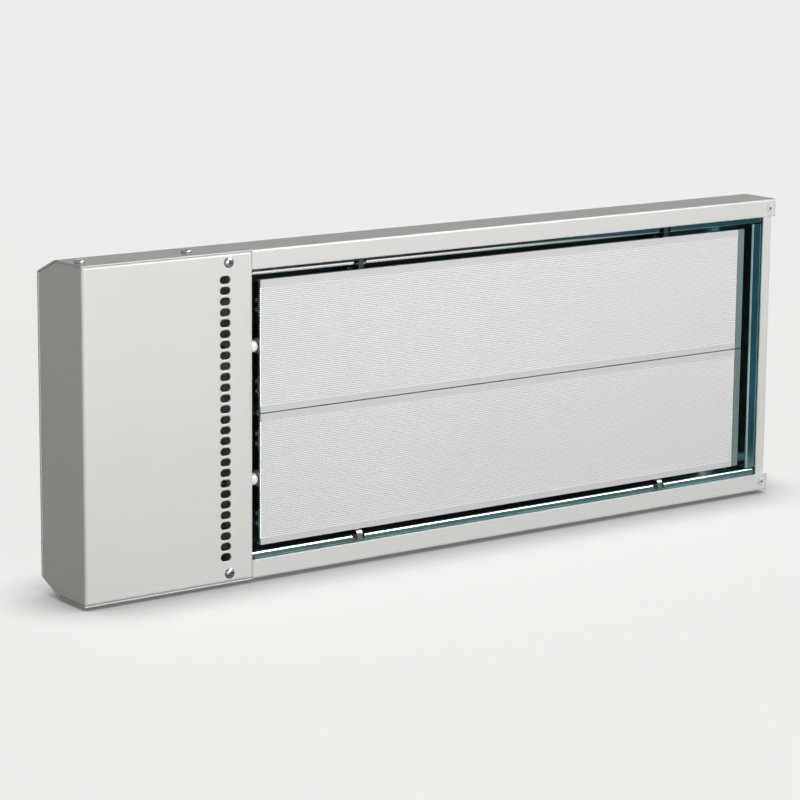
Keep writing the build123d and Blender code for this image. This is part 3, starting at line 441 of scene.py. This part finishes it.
def lathe(name, profile, steps):
    """Turned shape from (radius, height) points that start and end on the axis."""
    bm = bmesh.new()
    rings = []
    for r, h in profile:
        around = 1 if r == 0 else steps
        rings.append([
            bm.verts.new((r * cos(2 * pi * i / around), r * sin(2 * pi * i / around), h))
            for i in range(around)
        ])
    for low, high in zip(rings, rings[1:]):
        for i in range(steps):
            corners = [low[i % len(low)], low[(i + 1) % len(low)]]
            corners += [high[(i + 1) % len(high)], high[i % len(high)]]
            bm.faces.new(list(dict.fromkeys(corners)))
    bmesh.ops.recalc_face_normals(bm, faces=bm.faces)
    mesh = bpy.data.meshes.new(name)
    bm.to_mesh(mesh)
    bm.free()
    return mesh


def linked(name, mesh):
    """Object for a mesh, in the scene."""
    made = bpy.data.objects.new(name, mesh)
    bpy.context.scene.collection.objects.link(made)
    return made


def settled(source, name):
    """Plain mesh of an object with its modifiers worked in; the source goes."""
    depsgraph = bpy.context.evaluated_depsgraph_get()
    mesh = bpy.data.meshes.new_from_object(source.evaluated_get(depsgraph))
    mesh.name = name
    bpy.data.objects.remove(source)
    return linked(name, mesh)


def fastener_tree():
    """Node group that sets a fastener on points, turned by each point's own angle."""
    tree = bpy.data.node_groups.new("fasteners_on_points", "GeometryNodeTree")
    for name, kind in (
        ("Points", "NodeSocketGeometry"),
        ("Fastener", "NodeSocketObject"),
        ("Head Scale", "NodeSocketFloat"),
        ("Finish", "NodeSocketMaterial"),
    ):
        tree.interface.new_socket(name, in_out="INPUT", socket_type=kind)
    tree.interface.new_socket("Fasteners", in_out="OUTPUT", socket_type="NodeSocketGeometry")
    given = add(tree, "NodeGroupInput").outputs
    shape = add(tree, "GeometryNodeObjectInfo", {"Object": given["Fastener"]})
    angle = add(
        tree, "GeometryNodeInputNamedAttribute", {"Name": "angle"}, data_type="FLOAT_VECTOR",
    )
    turn = add(tree, "FunctionNodeEulerToRotation", {0: angle.outputs[0]})
    cast = add(
        tree, "GeometryNodeInstanceOnPoints",
        {
            "Points": given["Points"],
            "Instance": shape.outputs["Geometry"],
            "Rotation": turn.outputs[0],
            "Scale": given["Head Scale"],
        },
    )
    real = add(tree, "GeometryNodeRealizeInstances", {0: cast.outputs[0]})
    painted = add(
        tree, "GeometryNodeSetMaterial",
        {"Geometry": real.outputs[0], "Material": given["Finish"]},
    )
    add(tree, "NodeGroupOutput", {0: painted.outputs[0]})
    return tree


def fasten(name, fastener, spots, material):
    """Copies a fastener to spots of (seat, outward direction, turn in degrees)."""
    points = bpy.data.meshes.new(name + "_seats")
    points.from_pydata([seat for seat, outward, turn in spots], [], [])
    angles = points.attributes.new("angle", "FLOAT_VECTOR", "POINT")
    for i, (seat, outward, turn) in enumerate(spots):
        tilt = Vector(outward).to_track_quat("Z", "X").to_matrix()
        angles.data[i].vector = (tilt @ Matrix.Rotation(radians(turn), 3, "Z")).to_euler()
    source = linked(name + "_seats", points)
    copier = source.modifiers.new("copies", "NODES")
    copier.node_group = fastener_group
    items = fastener_group.interface.items_tree
    sockets = {item.name: item.identifier for item in items if item.in_out == "INPUT"}
    copier[sockets["Fastener"]] = fastener
    copier[sockets["Head Scale"]] = 1.0
    copier[sockets["Finish"]] = material
    return settled(source, name)


fastener_group = fastener_tree()
bright_zinc, tree, shader, place = finish("bright_zinc_plated_steel")
haze = add(tree, "ShaderNodeTexNoise", {"Vector": place, "Scale": 500.0, "Detail": 3.0})
tint = add(
    tree, "ShaderNodeMix",
    {0: haze.outputs[0], 6: linear("#5E696E"), 7: linear("#929CA0")}, data_type="RGBA",
)
gloss = add(tree, "ShaderNodeMapRange", {"Value": haze.outputs[0], "To Min": 0.18, "To Max": 0.38})
shader.inputs["Metallic"].default_value = 1.0
tree.links.new(tint.outputs[2], shader.inputs["Base Color"])
tree.links.new(gloss.outputs[0], shader.inputs["Roughness"])

profile = [(0, -SHANK_LENGTH), (SHANK_RADIUS - 2 * THREAD_DEPTH, -SHANK_LENGTH)]
thread_turns = int(SHANK_LENGTH / THREAD_PITCH) - 2
for i in range(thread_turns):
    root = -SHANK_LENGTH + (i + 1) * THREAD_PITCH
    profile.append((SHANK_RADIUS - THREAD_DEPTH, root - THREAD_PITCH / 2))
    profile.append((SHANK_RADIUS, root))
profile += [(SHANK_RADIUS - THREAD_DEPTH, -THREAD_PITCH), (SHANK_RADIUS - THREAD_DEPTH, 0)]
profile += [(HEAD_RADIUS * SEAT_SHARE, 0), (HEAD_RADIUS, HEAD_CHAMFER), (HEAD_RADIUS, HEAD_SIDE)]
dome = HEAD_HEIGHT - HEAD_SIDE
for i in range(1, DOME_STEPS):
    lift = i * pi / 2 / DOME_STEPS
    radius = HEAD_RADIUS * cos(lift) ** DOME_WIDTH_POWER
    profile.append((radius, HEAD_SIDE + dome * sin(lift) ** DOME_HEIGHT_POWER))
profile.append((0, HEAD_HEIGHT))
pan_head = linked("pan_head_screw", lathe("pan_head_screw", profile, SCREW_STEPS))

# The recess is a cross of four arms that tapers down to its floor.
bm = bmesh.new()
loops = []
for (half, reach), height in (
    (RECESS_FLOOR, HEAD_HEIGHT - RECESS_DEPTH),
    (RECESS_TOP, HEAD_HEIGHT + RECESS_OVERCUT),
):
    arm = ((reach, -half, 0), (reach, half, 0), (half, half, 0))
    corners = []
    for quarter in range(4):
        spin = Matrix.Rotation(quarter * pi / 2, 3, "Z")
        corners += [spin @ Vector(point) for point in arm]
    loops.append([bm.verts.new((c.x, c.y, height)) for c in corners])
for i in range(len(corners)):
    j = (i + 1) % len(corners)
    bm.faces.new((loops[0][i], loops[0][j], loops[1][j], loops[1][i]))
bm.faces.new(loops[0][::-1])
bm.faces.new(loops[1])
bmesh.ops.recalc_face_normals(bm, faces=bm.faces)
recess_mesh = bpy.data.meshes.new("cross_recess")
bm.to_mesh(recess_mesh)
bm.free()
recess = linked("cross_recess", recess_mesh)
cut = pan_head.modifiers.new("recess", "BOOLEAN")
cut.object = recess
cut.operation = "DIFFERENCE"
pan_head = settled(pan_head, "pan_head_screw")
bpy.data.objects.remove(recess)
for face in pan_head.data.polygons:
    face.use_smooth = False

# Each screw stops at its own angle, so the crosses of the recesses point different ways.
COVER_FRONT = -0.062
FRONT_SCREW = (-0.2115, 0.1174)
FRONT_TURNS = (24, 58)
SIDE_SCREW_Y = -0.0455
SIDE_SCREW_XS = (-0.3275, -0.2375)
SIDE_TURNS = (80.5, -50.5, 62.5, -32.5)
WALL_Z = 0.125
front_spots = [
    ((FRONT_SCREW[0], COVER_FRONT, side * FRONT_SCREW[1]), (0, -1, 0), turn)
    for side, turn in zip((1, -1), FRONT_TURNS)
]
front_screws = fasten("cover_face_screws", pan_head, front_spots, bright_zinc)
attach(front_screws, "cover")
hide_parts("cover_front_screws")
side_places = [(x, side) for x in SIDE_SCREW_XS for side in (1, -1)]
side_spots = [
    ((x, SIDE_SCREW_Y, side * WALL_Z), (0, 0, side), turn)
    for (x, side), turn in zip(side_places, SIDE_TURNS)
]
side_screws = fasten("cover_wall_screws", pan_head, side_spots, bright_zinc)
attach(side_screws, "panel")
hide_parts("cover_side_screws")
bpy.data.objects.remove(pan_head)
dress(
    bright_zinc, "cover_side_nuts", "crimp_sleeves", "strap_bolts", "strap_nuts", "terminal_screws",
    "block_screws", "earth_stud", "earth_lug", "earth_washer", "rear_inserts",
)


# End cap rivets: 3.2 mm blind rivets, set before the coat, so their heads are painted over.
# The broken steel mandrel sits in each head's hole, reaching up near its brim, and is coloured near
# black as painted shade for the hole. Two rivets go through the front flanges and two through the
# slanted strips behind.
RIVET_STEPS = 36
RIVET_X = 0.3300
FRONT_RIVET_Z = 0.1171
SLANT_RIVET = (-0.0126, 0.1195)
SLANT_OUT = (0.0110, 0.0252)
# Radius and height of each form along the rivet, from the swollen tail up to the hole.
RIVET_TAIL = [(0, -0.0044), (0.0016, -0.0044), (0.0023, -0.0033), (0.0023, -0.0022)]
RIVET_SHANK = [(0.0016, -0.0022), (0.0016, 0.0)]
RIVET_HEAD = [
    (0.0032, 0.0), (0.0033, 0.0002), (0.0030, 0.0007), (0.0023, 0.0011), (0.0018, 0.0013),
]
RIVET_HOLE = [(0.00142, 0.00124), (0.00132, 0.0010), (0.00128, -0.0013), (0, -0.0013)]
STUB_RADIUS = 0.00124
STUB_FOOT = -0.0015
STUB_TOP = 0.0001
STUB_BREAK = (0.0002, 0.0003)
rivet_profile = RIVET_TAIL + RIVET_SHANK + RIVET_HEAD + RIVET_HOLE
stub_profile = [
    (0, STUB_FOOT), (STUB_RADIUS, STUB_FOOT), (STUB_RADIUS, STUB_TOP),
    (0.6 * STUB_RADIUS, STUB_TOP + STUB_BREAK[0]), (0, STUB_TOP + STUB_BREAK[1]),
]
rivet = linked("blind_rivet", lathe("blind_rivet", rivet_profile, RIVET_STEPS))
stub = linked("mandrel_stub", lathe("mandrel_stub", stub_profile, RIVET_STEPS))
for face in [*rivet.data.polygons, *stub.data.polygons]:
    face.use_smooth = True
rivet_spots = [
    ((RIVET_X, COVER_FRONT, side * FRONT_RIVET_Z), (0, -1, 0), 0) for side in (1, -1)
]
rivet_spots += [
    ((RIVET_X, SLANT_RIVET[0], side * SLANT_RIVET[1]), (0, SLANT_OUT[0], side * SLANT_OUT[1]), 0)
    for side in (1, -1)
]
# Painted shade: the mandrel is near black so that the hole reads as shaded; the stub itself is
# real.
mandrel_and_hole_shade, tree, shader, place = finish("mandrel_steel_with_painted_hole_shade")
crust = add(tree, "ShaderNodeTexNoise", {"Vector": place, "Scale": 900.0, "Detail": 3.0})
tint = add(
    tree, "ShaderNodeMix",
    {0: crust.outputs[0], 6: linear("#17191A"), 7: linear("#34383A")}, data_type="RGBA",
)
shader.inputs["Metallic"].default_value = 1.0
shader.inputs["Roughness"].default_value = 0.5
tree.links.new(tint.outputs[2], shader.inputs["Base Color"])
for name, shape, surface in (
    ("blind_rivets", rivet, powder_coat),
    ("mandrel_stubs", stub, mandrel_and_hole_shade),
):
    placed = fasten(name, shape, rivet_spots, surface)
    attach(placed, "panel")
    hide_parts("end_cap_rivets")
    bpy.data.objects.remove(shape)


# Insulation: a mat of loose mineral wool, packed by hand behind and round the reflector tray.
# It is lumpy, yellow-brown and fibrous, and shows where the tray stops at the bulkhead and in
# the slots for the straps.
WOOL_GRID = 0.004
WOOL_INSET = 0.0005
WOOL_LUMPS = 0.0014
LUMPS_PER_METRE = 110
TUFTS_PER_METRE = 420
TUFT_SHIFT = Vector((7, 3, 5))
bm = bmesh.new()
bm.from_mesh(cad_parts["insulation_mat"].data)
bmesh.ops.remove_doubles(bm, verts=bm.verts, dist=1e-6)
mat_mesh = bpy.data.meshes.new("wool_blank")
bm.to_mesh(mat_mesh)
bm.free()
blank = linked("wool_blank", mat_mesh)
grid = blank.modifiers.new("grid", "REMESH")
grid.mode = "VOXEL"
grid.voxel_size = WOOL_GRID
wool = settled(blank, "mineral_wool_mat")
bm = bmesh.new()
bm.from_mesh(wool.data)
bm.normal_update()
for v in bm.verts:
    lump = 0.5 + 0.5 * noise.noise(v.co * LUMPS_PER_METRE)
    tuft = 0.5 + 0.5 * noise.noise(v.co * TUFTS_PER_METRE + TUFT_SHIFT)
    v.co -= v.normal * (WOOL_INSET + WOOL_LUMPS * (0.6 * lump + 0.4 * tuft))
bm.to_mesh(wool.data)
bm.free()
wool_fibre, tree, shader, place = finish("mineral_wool")
stretch = add(
    tree, "ShaderNodeMapping", {0: place, 2: (0.4, 0.7, 0.2), 3: (260.0, 1400.0, 1400.0)},
)
fibre = add(
    tree, "ShaderNodeTexNoise", {"Vector": stretch.outputs[0], "Scale": 1.0, "Detail": 4.0},
)
patch = add(tree, "ShaderNodeTexNoise", {"Vector": place, "Scale": 60.0, "Detail": 3.0})
dark = add(
    tree, "ShaderNodeMix",
    {0: patch.outputs[0], 6: linear("#7C6420"), 7: linear("#A88C3A")}, data_type="RGBA",
)
tint = add(
    tree, "ShaderNodeMix",
    {0: fibre.outputs[0], 6: dark.outputs[2], 7: linear("#CDB56C")}, data_type="RGBA",
)
relief = add(
    tree, "ShaderNodeBump",
    {"Height": fibre.outputs[0], "Strength": 0.8, "Distance": 0.0008},
)
shader.inputs["Roughness"].default_value = 0.92
shader.inputs["Sheen Weight"].default_value = 0.25
tree.links.new(tint.outputs[2], shader.inputs["Base Color"])
tree.links.new(relief.outputs[0], shader.inputs["Normal"])
wool.data.materials.clear()
wool.data.materials.append(wool_fibre)
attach(wool, "panel")
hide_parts("insulation_mat")


# Heating rod and its cold pins: steel tube filled with magnesia, bent in one hairpin.
# First heating leaves straw and blue bands in the oxide.
rod_oxide, tree, shader, place = finish("heat_tinted_steel")
bands = add(tree, "ShaderNodeMapping", {0: place, 3: (22.0, 60.0, 60.0)})
wave = add(tree, "ShaderNodeTexNoise", {"Vector": bands.outputs[0], "Scale": 1.0, "Detail": 3.0})
straw = add(
    tree, "ShaderNodeMix",
    {0: wave.outputs[0], 6: linear("#4F5A66"), 7: linear("#8B7A58")}, data_type="RGBA",
)
gloss = add(tree, "ShaderNodeMapRange", {"Value": wave.outputs[0], "To Min": 0.30, "To Max": 0.50})
shader.inputs["Metallic"].default_value = 1.0
tree.links.new(straw.outputs[2], shader.inputs["Base Color"])
tree.links.new(gloss.outputs[0], shader.inputs["Roughness"])
dress(rod_oxide, "heating_rod", "rod_pins")


# Ceramic bushes and terminal block: pressed steatite, fired white, the bushes glazed.
# The glaze is smooth and glossy over a faintly speckled warm white body.
steatite, tree, shader, place = finish("glazed_steatite")
body = add(tree, "ShaderNodeTexNoise", {"Vector": place, "Scale": 240.0, "Detail": 3.0})
tint = add(
    tree, "ShaderNodeMix",
    {0: body.outputs[0], 6: linear("#F5F3EE"), 7: linear("#FCFBF7")}, data_type="RGBA",
)
ripple = add(
    tree, "ShaderNodeBump",
    {"Height": body.outputs[0], "Strength": 0.05, "Distance": 0.0003},
)
gloss = add(tree, "ShaderNodeMapRange", {"Value": body.outputs[0], "To Min": 0.12, "To Max": 0.26})
tree.links.new(tint.outputs[2], shader.inputs["Base Color"])
tree.links.new(gloss.outputs[0], shader.inputs["Roughness"])
tree.links.new(ripple.outputs[0], shader.inputs["Normal"])
dress(steatite, "ceramic_bush_upper", "ceramic_bush_lower", "terminal_block")


# Terminal clamps and earth nut: turned and drilled brass bar.
# Fine lathe marks and a little tarnish break up its reflections.
cut_brass, tree, shader, place = finish("turned_brass")
tarnish = add(tree, "ShaderNodeTexNoise", {"Vector": place, "Scale": 320.0, "Detail": 4.0})
tint = add(
    tree, "ShaderNodeMix",
    {0: tarnish.outputs[0], 6: linear("#A97F3A"), 7: linear("#D8B563")}, data_type="RGBA",
)
gloss = add(
    tree, "ShaderNodeMapRange",
    {"Value": tarnish.outputs[0], "To Min": 0.22, "To Max": 0.42},
)
shader.inputs["Metallic"].default_value = 1.0
tree.links.new(tint.outputs[2], shader.inputs["Base Color"])
tree.links.new(gloss.outputs[0], shader.inputs["Roughness"])
dress(cut_brass, "terminal_clamps", "earth_nut")


# Leads: stranded wire in braided glass sleeving, white to the rod and yellow-green to earth.
# The braid's diamonds are about 0.8 mm wide; they are drawn at 1 mm to show.
sleeving, tree, shader, place = finish("braided_glass_sleeve")
slant = add(
    tree, "ShaderNodeMapping",
    {0: place, 2: (radians(45), radians(35), 0), 3: (1000.0, 1000.0, 1000.0)},
)
weave = add(tree, "ShaderNodeTexChecker", {"Vector": slant.outputs[0], "Scale": 1.0})
tint = add(
    tree, "ShaderNodeMix",
    {0: weave.outputs[1], 6: linear("#D5D2C6"), 7: linear("#ECEAE1")}, data_type="RGBA",
)
relief = add(
    tree, "ShaderNodeBump",
    {"Height": weave.outputs[1], "Strength": 0.4, "Distance": 0.0002},
)
shader.inputs["Roughness"].default_value = 0.6
tree.links.new(tint.outputs[2], shader.inputs["Base Color"])
tree.links.new(relief.outputs[0], shader.inputs["Normal"])
dress(sleeving, "lead_upper", "lead_lower")

earth_sleeve, tree, shader, place = finish("yellow_green_earth_sleeve")
facing = add(tree, "ShaderNodeNewGeometry")
sides = add(tree, "ShaderNodeSeparateXYZ", {0: facing.outputs["Normal"]})
upward = add(tree, "ShaderNodeMath", {0: sides.outputs["Z"]}, operation="ABSOLUTE")
stripe = add(
    tree, "ShaderNodeMapRange",
    {"Value": upward.outputs[0], "From Min": 0.68, "From Max": 0.74},
)
knit = add(tree, "ShaderNodeTexNoise", {"Vector": place, "Scale": 1200.0, "Detail": 2.0})
tint = add(
    tree, "ShaderNodeMix",
    {0: stripe.outputs[0], 6: linear("#D9C82A"), 7: linear("#2F8A3A")}, data_type="RGBA",
)
relief = add(
    tree, "ShaderNodeBump",
    {"Height": knit.outputs[0], "Strength": 0.3, "Distance": 0.0002},
)
shader.inputs["Roughness"].default_value = 0.55
tree.links.new(tint.outputs[2], shader.inputs["Base Color"])
tree.links.new(relief.outputs[0], shader.inputs["Normal"])
dress(earth_sleeve, "earth_lead")


# Cable grommet: moulded black rubber, pressed into the lower slanted strip.
# Its surface is matt with a dusty bloom.
black_rubber, tree, shader, place = finish("moulded_rubber")
bloom = add(tree, "ShaderNodeTexNoise", {"Vector": place, "Scale": 300.0, "Detail": 4.0})
tint = add(
    tree, "ShaderNodeMix",
    {0: bloom.outputs[0], 6: linear("#161616"), 7: linear("#2C2C2B")}, data_type="RGBA",
)
gloss = add(tree, "ShaderNodeMapRange", {"Value": bloom.outputs[0], "To Min": 0.55, "To Max": 0.75})
relief = add(
    tree, "ShaderNodeBump",
    {"Height": bloom.outputs[0], "Strength": 0.2, "Distance": 0.0003},
)
tree.links.new(tint.outputs[2], shader.inputs["Base Color"])
tree.links.new(gloss.outputs[0], shader.inputs["Roughness"])
tree.links.new(relief.outputs[0], shader.inputs["Normal"])
dress(black_rubber, "cable_grommet")


# Floor and room: a pale studio floor that keeps the panel's soft shadow and fades into the room.
# The camera and reflections see both at the pale grey of the page, the floor with a painted contact
# shadow close to the panel; as light they are dimmer.
PAGE = "#EEEEEC"
FLOOR_Z = -0.1277
FLOOR_HALF = 4.0
FADE_START = 1.0
FADE_END = 3.0
FLOOR_GLOW = 0.925
ROOM_LEVEL = 0.095
CONTACT_REACH = 0.06
CONTACT_DARK = 0.15
CONTACT_FULL = 0.30


def looked_at(tree):
    """One for rays that look at a surface, from the camera or in a reflection, and else zero."""
    ray = add(tree, "ShaderNodeLightPath")
    direct = add(
        tree, "ShaderNodeMath",
        {0: ray.outputs["Is Camera Ray"], 1: ray.outputs["Is Glossy Ray"]}, operation="MAXIMUM",
    )
    either = add(
        tree, "ShaderNodeMath",
        {0: direct.outputs[0], 1: ray.outputs["Is Transmission Ray"]}, operation="MAXIMUM",
    )
    return either.outputs[0]


scene = bpy.context.scene
floor_mesh = bpy.data.meshes.new("studio_floor")
floor_mesh.from_pydata(
    [(x * FLOOR_HALF, y * FLOOR_HALF, FLOOR_Z) for x, y in ((-1, -1), (1, -1), (1, 1), (-1, 1))],
    [], [(0, 1, 2, 3)],
)
floor = linked("studio_floor", floor_mesh)
paper = bpy.data.materials.new("pale_floor")
tree = bare_tree(paper)
# Painted contact shadow: ambient occlusion darkens the floor's glow close to the panel.
nearby = add(tree, "ShaderNodeAmbientOcclusion", {"Distance": CONTACT_REACH}, samples=8)
painted_contact_shadow = add(
    tree, "ShaderNodeMapRange",
    {
        "Value": nearby.outputs["AO"], "From Min": CONTACT_FULL,
        "To Min": CONTACT_DARK * FLOOR_GLOW, "To Max": FLOOR_GLOW,
    },
)
glow = add(
    tree, "ShaderNodeMath", {0: looked_at(tree), 1: painted_contact_shadow.outputs[0]}, operation="MULTIPLY",
)
lit = add(tree, "ShaderNodeEmission", {"Color": linear(PAGE), "Strength": glow.outputs[0]})
matt = add(tree, "ShaderNodeBsdfDiffuse", {"Color": linear("#888886")})
both = add(tree, "ShaderNodeAddShader", {0: lit.outputs[0], 1: matt.outputs[0]})
spot = add(tree, "ShaderNodeTexCoord").outputs["Object"]
reach = add(tree, "ShaderNodeVectorMath", {0: spot}, operation="LENGTH")
fade = add(
    tree, "ShaderNodeMapRange",
    {"Value": reach.outputs["Value"], "From Min": FADE_START, "From Max": FADE_END},
    interpolation_type="SMOOTHSTEP",
)
clear = add(tree, "ShaderNodeBsdfTransparent")
sweep = add(
    tree, "ShaderNodeMixShader",
    {0: fade.outputs[0], 1: both.outputs[0], 2: clear.outputs[0]},
)
add(tree, "ShaderNodeOutputMaterial", {"Surface": sweep.outputs[0]})
floor_mesh.materials.append(paper)

room = bpy.data.worlds.new("studio_room")
scene.world = room
tree = bare_tree(room)
dim = add(tree, "ShaderNodeBackground", {"Color": linear("#FFF3E4"), "Strength": ROOM_LEVEL})
page = add(tree, "ShaderNodeBackground", {"Color": linear(PAGE), "Strength": 1.0})
seen = add(
    tree, "ShaderNodeMixShader", {0: looked_at(tree), 1: dim.outputs[0], 2: page.outputs[0]},
)
add(tree, "ShaderNodeOutputWorld", {"Surface": seen.outputs[0]})


# Mirror card: lies on the floor in front and to the right. Only glossy reflections show it. It
# gives the tray's lips their dark slate, which turns teal to the right and grey close to the
# panel. Left of the panel's right end only the strip close to it is there; the rest is clear.
CARD_X = (-0.45, 2.60)
CARD_Y = (-3.00, -0.075)
CARD_LIFT = 0.001
RIGHT_PART = (0.34, 0.46)
NEAR_PART = (-0.18, -0.15)
TEAL_PART = (0.25, 0.42)
TEAL_SLANT = 0.6
card_mesh = bpy.data.meshes.new("mirror_card")
card_mesh.from_pydata(
    [
        (CARD_X[i], CARD_Y[j], FLOOR_Z + CARD_LIFT)
        for i, j in ((0, 0), (1, 0), (1, 1), (0, 1))
    ],
    [], [(0, 1, 2, 3)],
)
card = linked("mirror_card", card_mesh)
for kind in ("camera", "diffuse", "shadow", "transmission", "volume_scatter"):
    setattr(card, "visible_" + kind, False)
felt = bpy.data.materials.new("dark_teal_card")
tree = bare_tree(felt)
spot = add(tree, "ShaderNodeSeparateXYZ", {0: add(tree, "ShaderNodeTexCoord").outputs["Object"]})
far_right = add(
    tree, "ShaderNodeMath",
    {0: spot.outputs["Y"], 1: TEAL_SLANT, 2: spot.outputs["X"]}, operation="MULTIPLY_ADD",
)
bluer = add(
    tree, "ShaderNodeMapRange",
    {"Value": far_right.outputs[0], "From Min": TEAL_PART[0], "From Max": TEAL_PART[1]},
)
near = add(
    tree, "ShaderNodeMapRange",
    {"Value": spot.outputs["Y"], "From Min": NEAR_PART[0], "From Max": NEAR_PART[1]},
)
shade = add(
    tree, "ShaderNodeMix",
    {0: bluer.outputs[0], 6: linear("#20272A"), 7: linear("#175E72")}, data_type="RGBA",
)
shade = add(
    tree, "ShaderNodeMix",
    {0: near.outputs[0], 6: shade.outputs[2], 7: linear("#7F9395")}, data_type="RGBA",
)
sheen = add(tree, "ShaderNodeEmission", {"Color": shade.outputs[2], "Strength": 1.0})
bare = add(tree, "ShaderNodeBsdfTransparent")
right_part = add(
    tree, "ShaderNodeMapRange",
    {"Value": spot.outputs["X"], "From Min": RIGHT_PART[0], "From Max": RIGHT_PART[1]},
)
cover = add(
    tree, "ShaderNodeMath", {0: right_part.outputs[0], 1: near.outputs[0]}, operation="MAXIMUM",
)
edge = add(
    tree, "ShaderNodeMixShader",
    {0: cover.outputs[0], 1: bare.outputs[0], 2: sheen.outputs[0]},
)
add(tree, "ShaderNodeOutputMaterial", {"Surface": edge.outputs[0]})
card_mesh.materials.append(felt)


# Studio lamps: a broad low soft box in front, one high to the right that only draws the bright
# line along the folded edges, a weak one for the left end face, and a low one behind that lights
# the back without highlights.
PANEL_MIDDLE = Vector((0, -0.04, 0))


def soft_box(name, place, width, height, power):
    """Area lamp aimed at the panel's middle, with its sides in metres and its power in watts."""
    data = bpy.data.lights.new(name, "AREA")
    data.shape = "RECTANGLE"
    data.size, data.size_y, data.energy = width, height, power
    lamp = linked(name, data)
    turn = (PANEL_MIDDLE - Vector(place)).to_track_quat("-Z", "Y")
    lamp.matrix_world = Matrix.Translation(place) @ turn.to_matrix().to_4x4()
    return lamp


soft_box("front_box", (-0.15, -3.30, 0.25), 2.7, 1.4, 111.0)
edge_box = soft_box("edge_box", (1.10, -1.12, 1.65), 1.1, 1.7, 150.0)
edge_box.visible_diffuse = False
soft_box("end_box", (-2.60, -0.55, 0.05), 1.2, 1.2, 9.5)
back_box = soft_box("back_box", (0.30, 3.20, 0.05), 2.2, 0.4, 26.0)
back_box.visible_glossy = False


# Camera: at the photograph's viewing angle, from the panel's left front and a little above.
# Place, turn and lens come from solving the perspective of the casing's corners.
IMAGE_SIDE = 800
FOCAL_PIXELS = 3016.3
SENSOR = 36.0
STAND = (-1.4139, -1.8898, 0.4540)
YAW, PITCH, ROLL = radians(36.65), radians(11.345), radians(0.486)
forward = Vector((sin(YAW) * cos(PITCH), cos(YAW) * cos(PITCH), -sin(PITCH)))
level_right = Vector((cos(YAW), -sin(YAW), 0))
level_up = level_right.cross(forward)
right = level_right * cos(ROLL) + level_up * sin(ROLL)
up = level_up * cos(ROLL) - level_right * sin(ROLL)
lens = bpy.data.cameras.new("studio_camera")
lens.sensor_width = SENSOR
lens.lens = FOCAL_PIXELS / IMAGE_SIDE * SENSOR
camera = linked("studio_camera", lens)
turned = Matrix((right, up, -forward)).transposed()
camera.matrix_world = Matrix.Translation(STAND) @ turned.to_4x4()
scene.camera = camera
scene.view_settings.view_transform = "Standard"
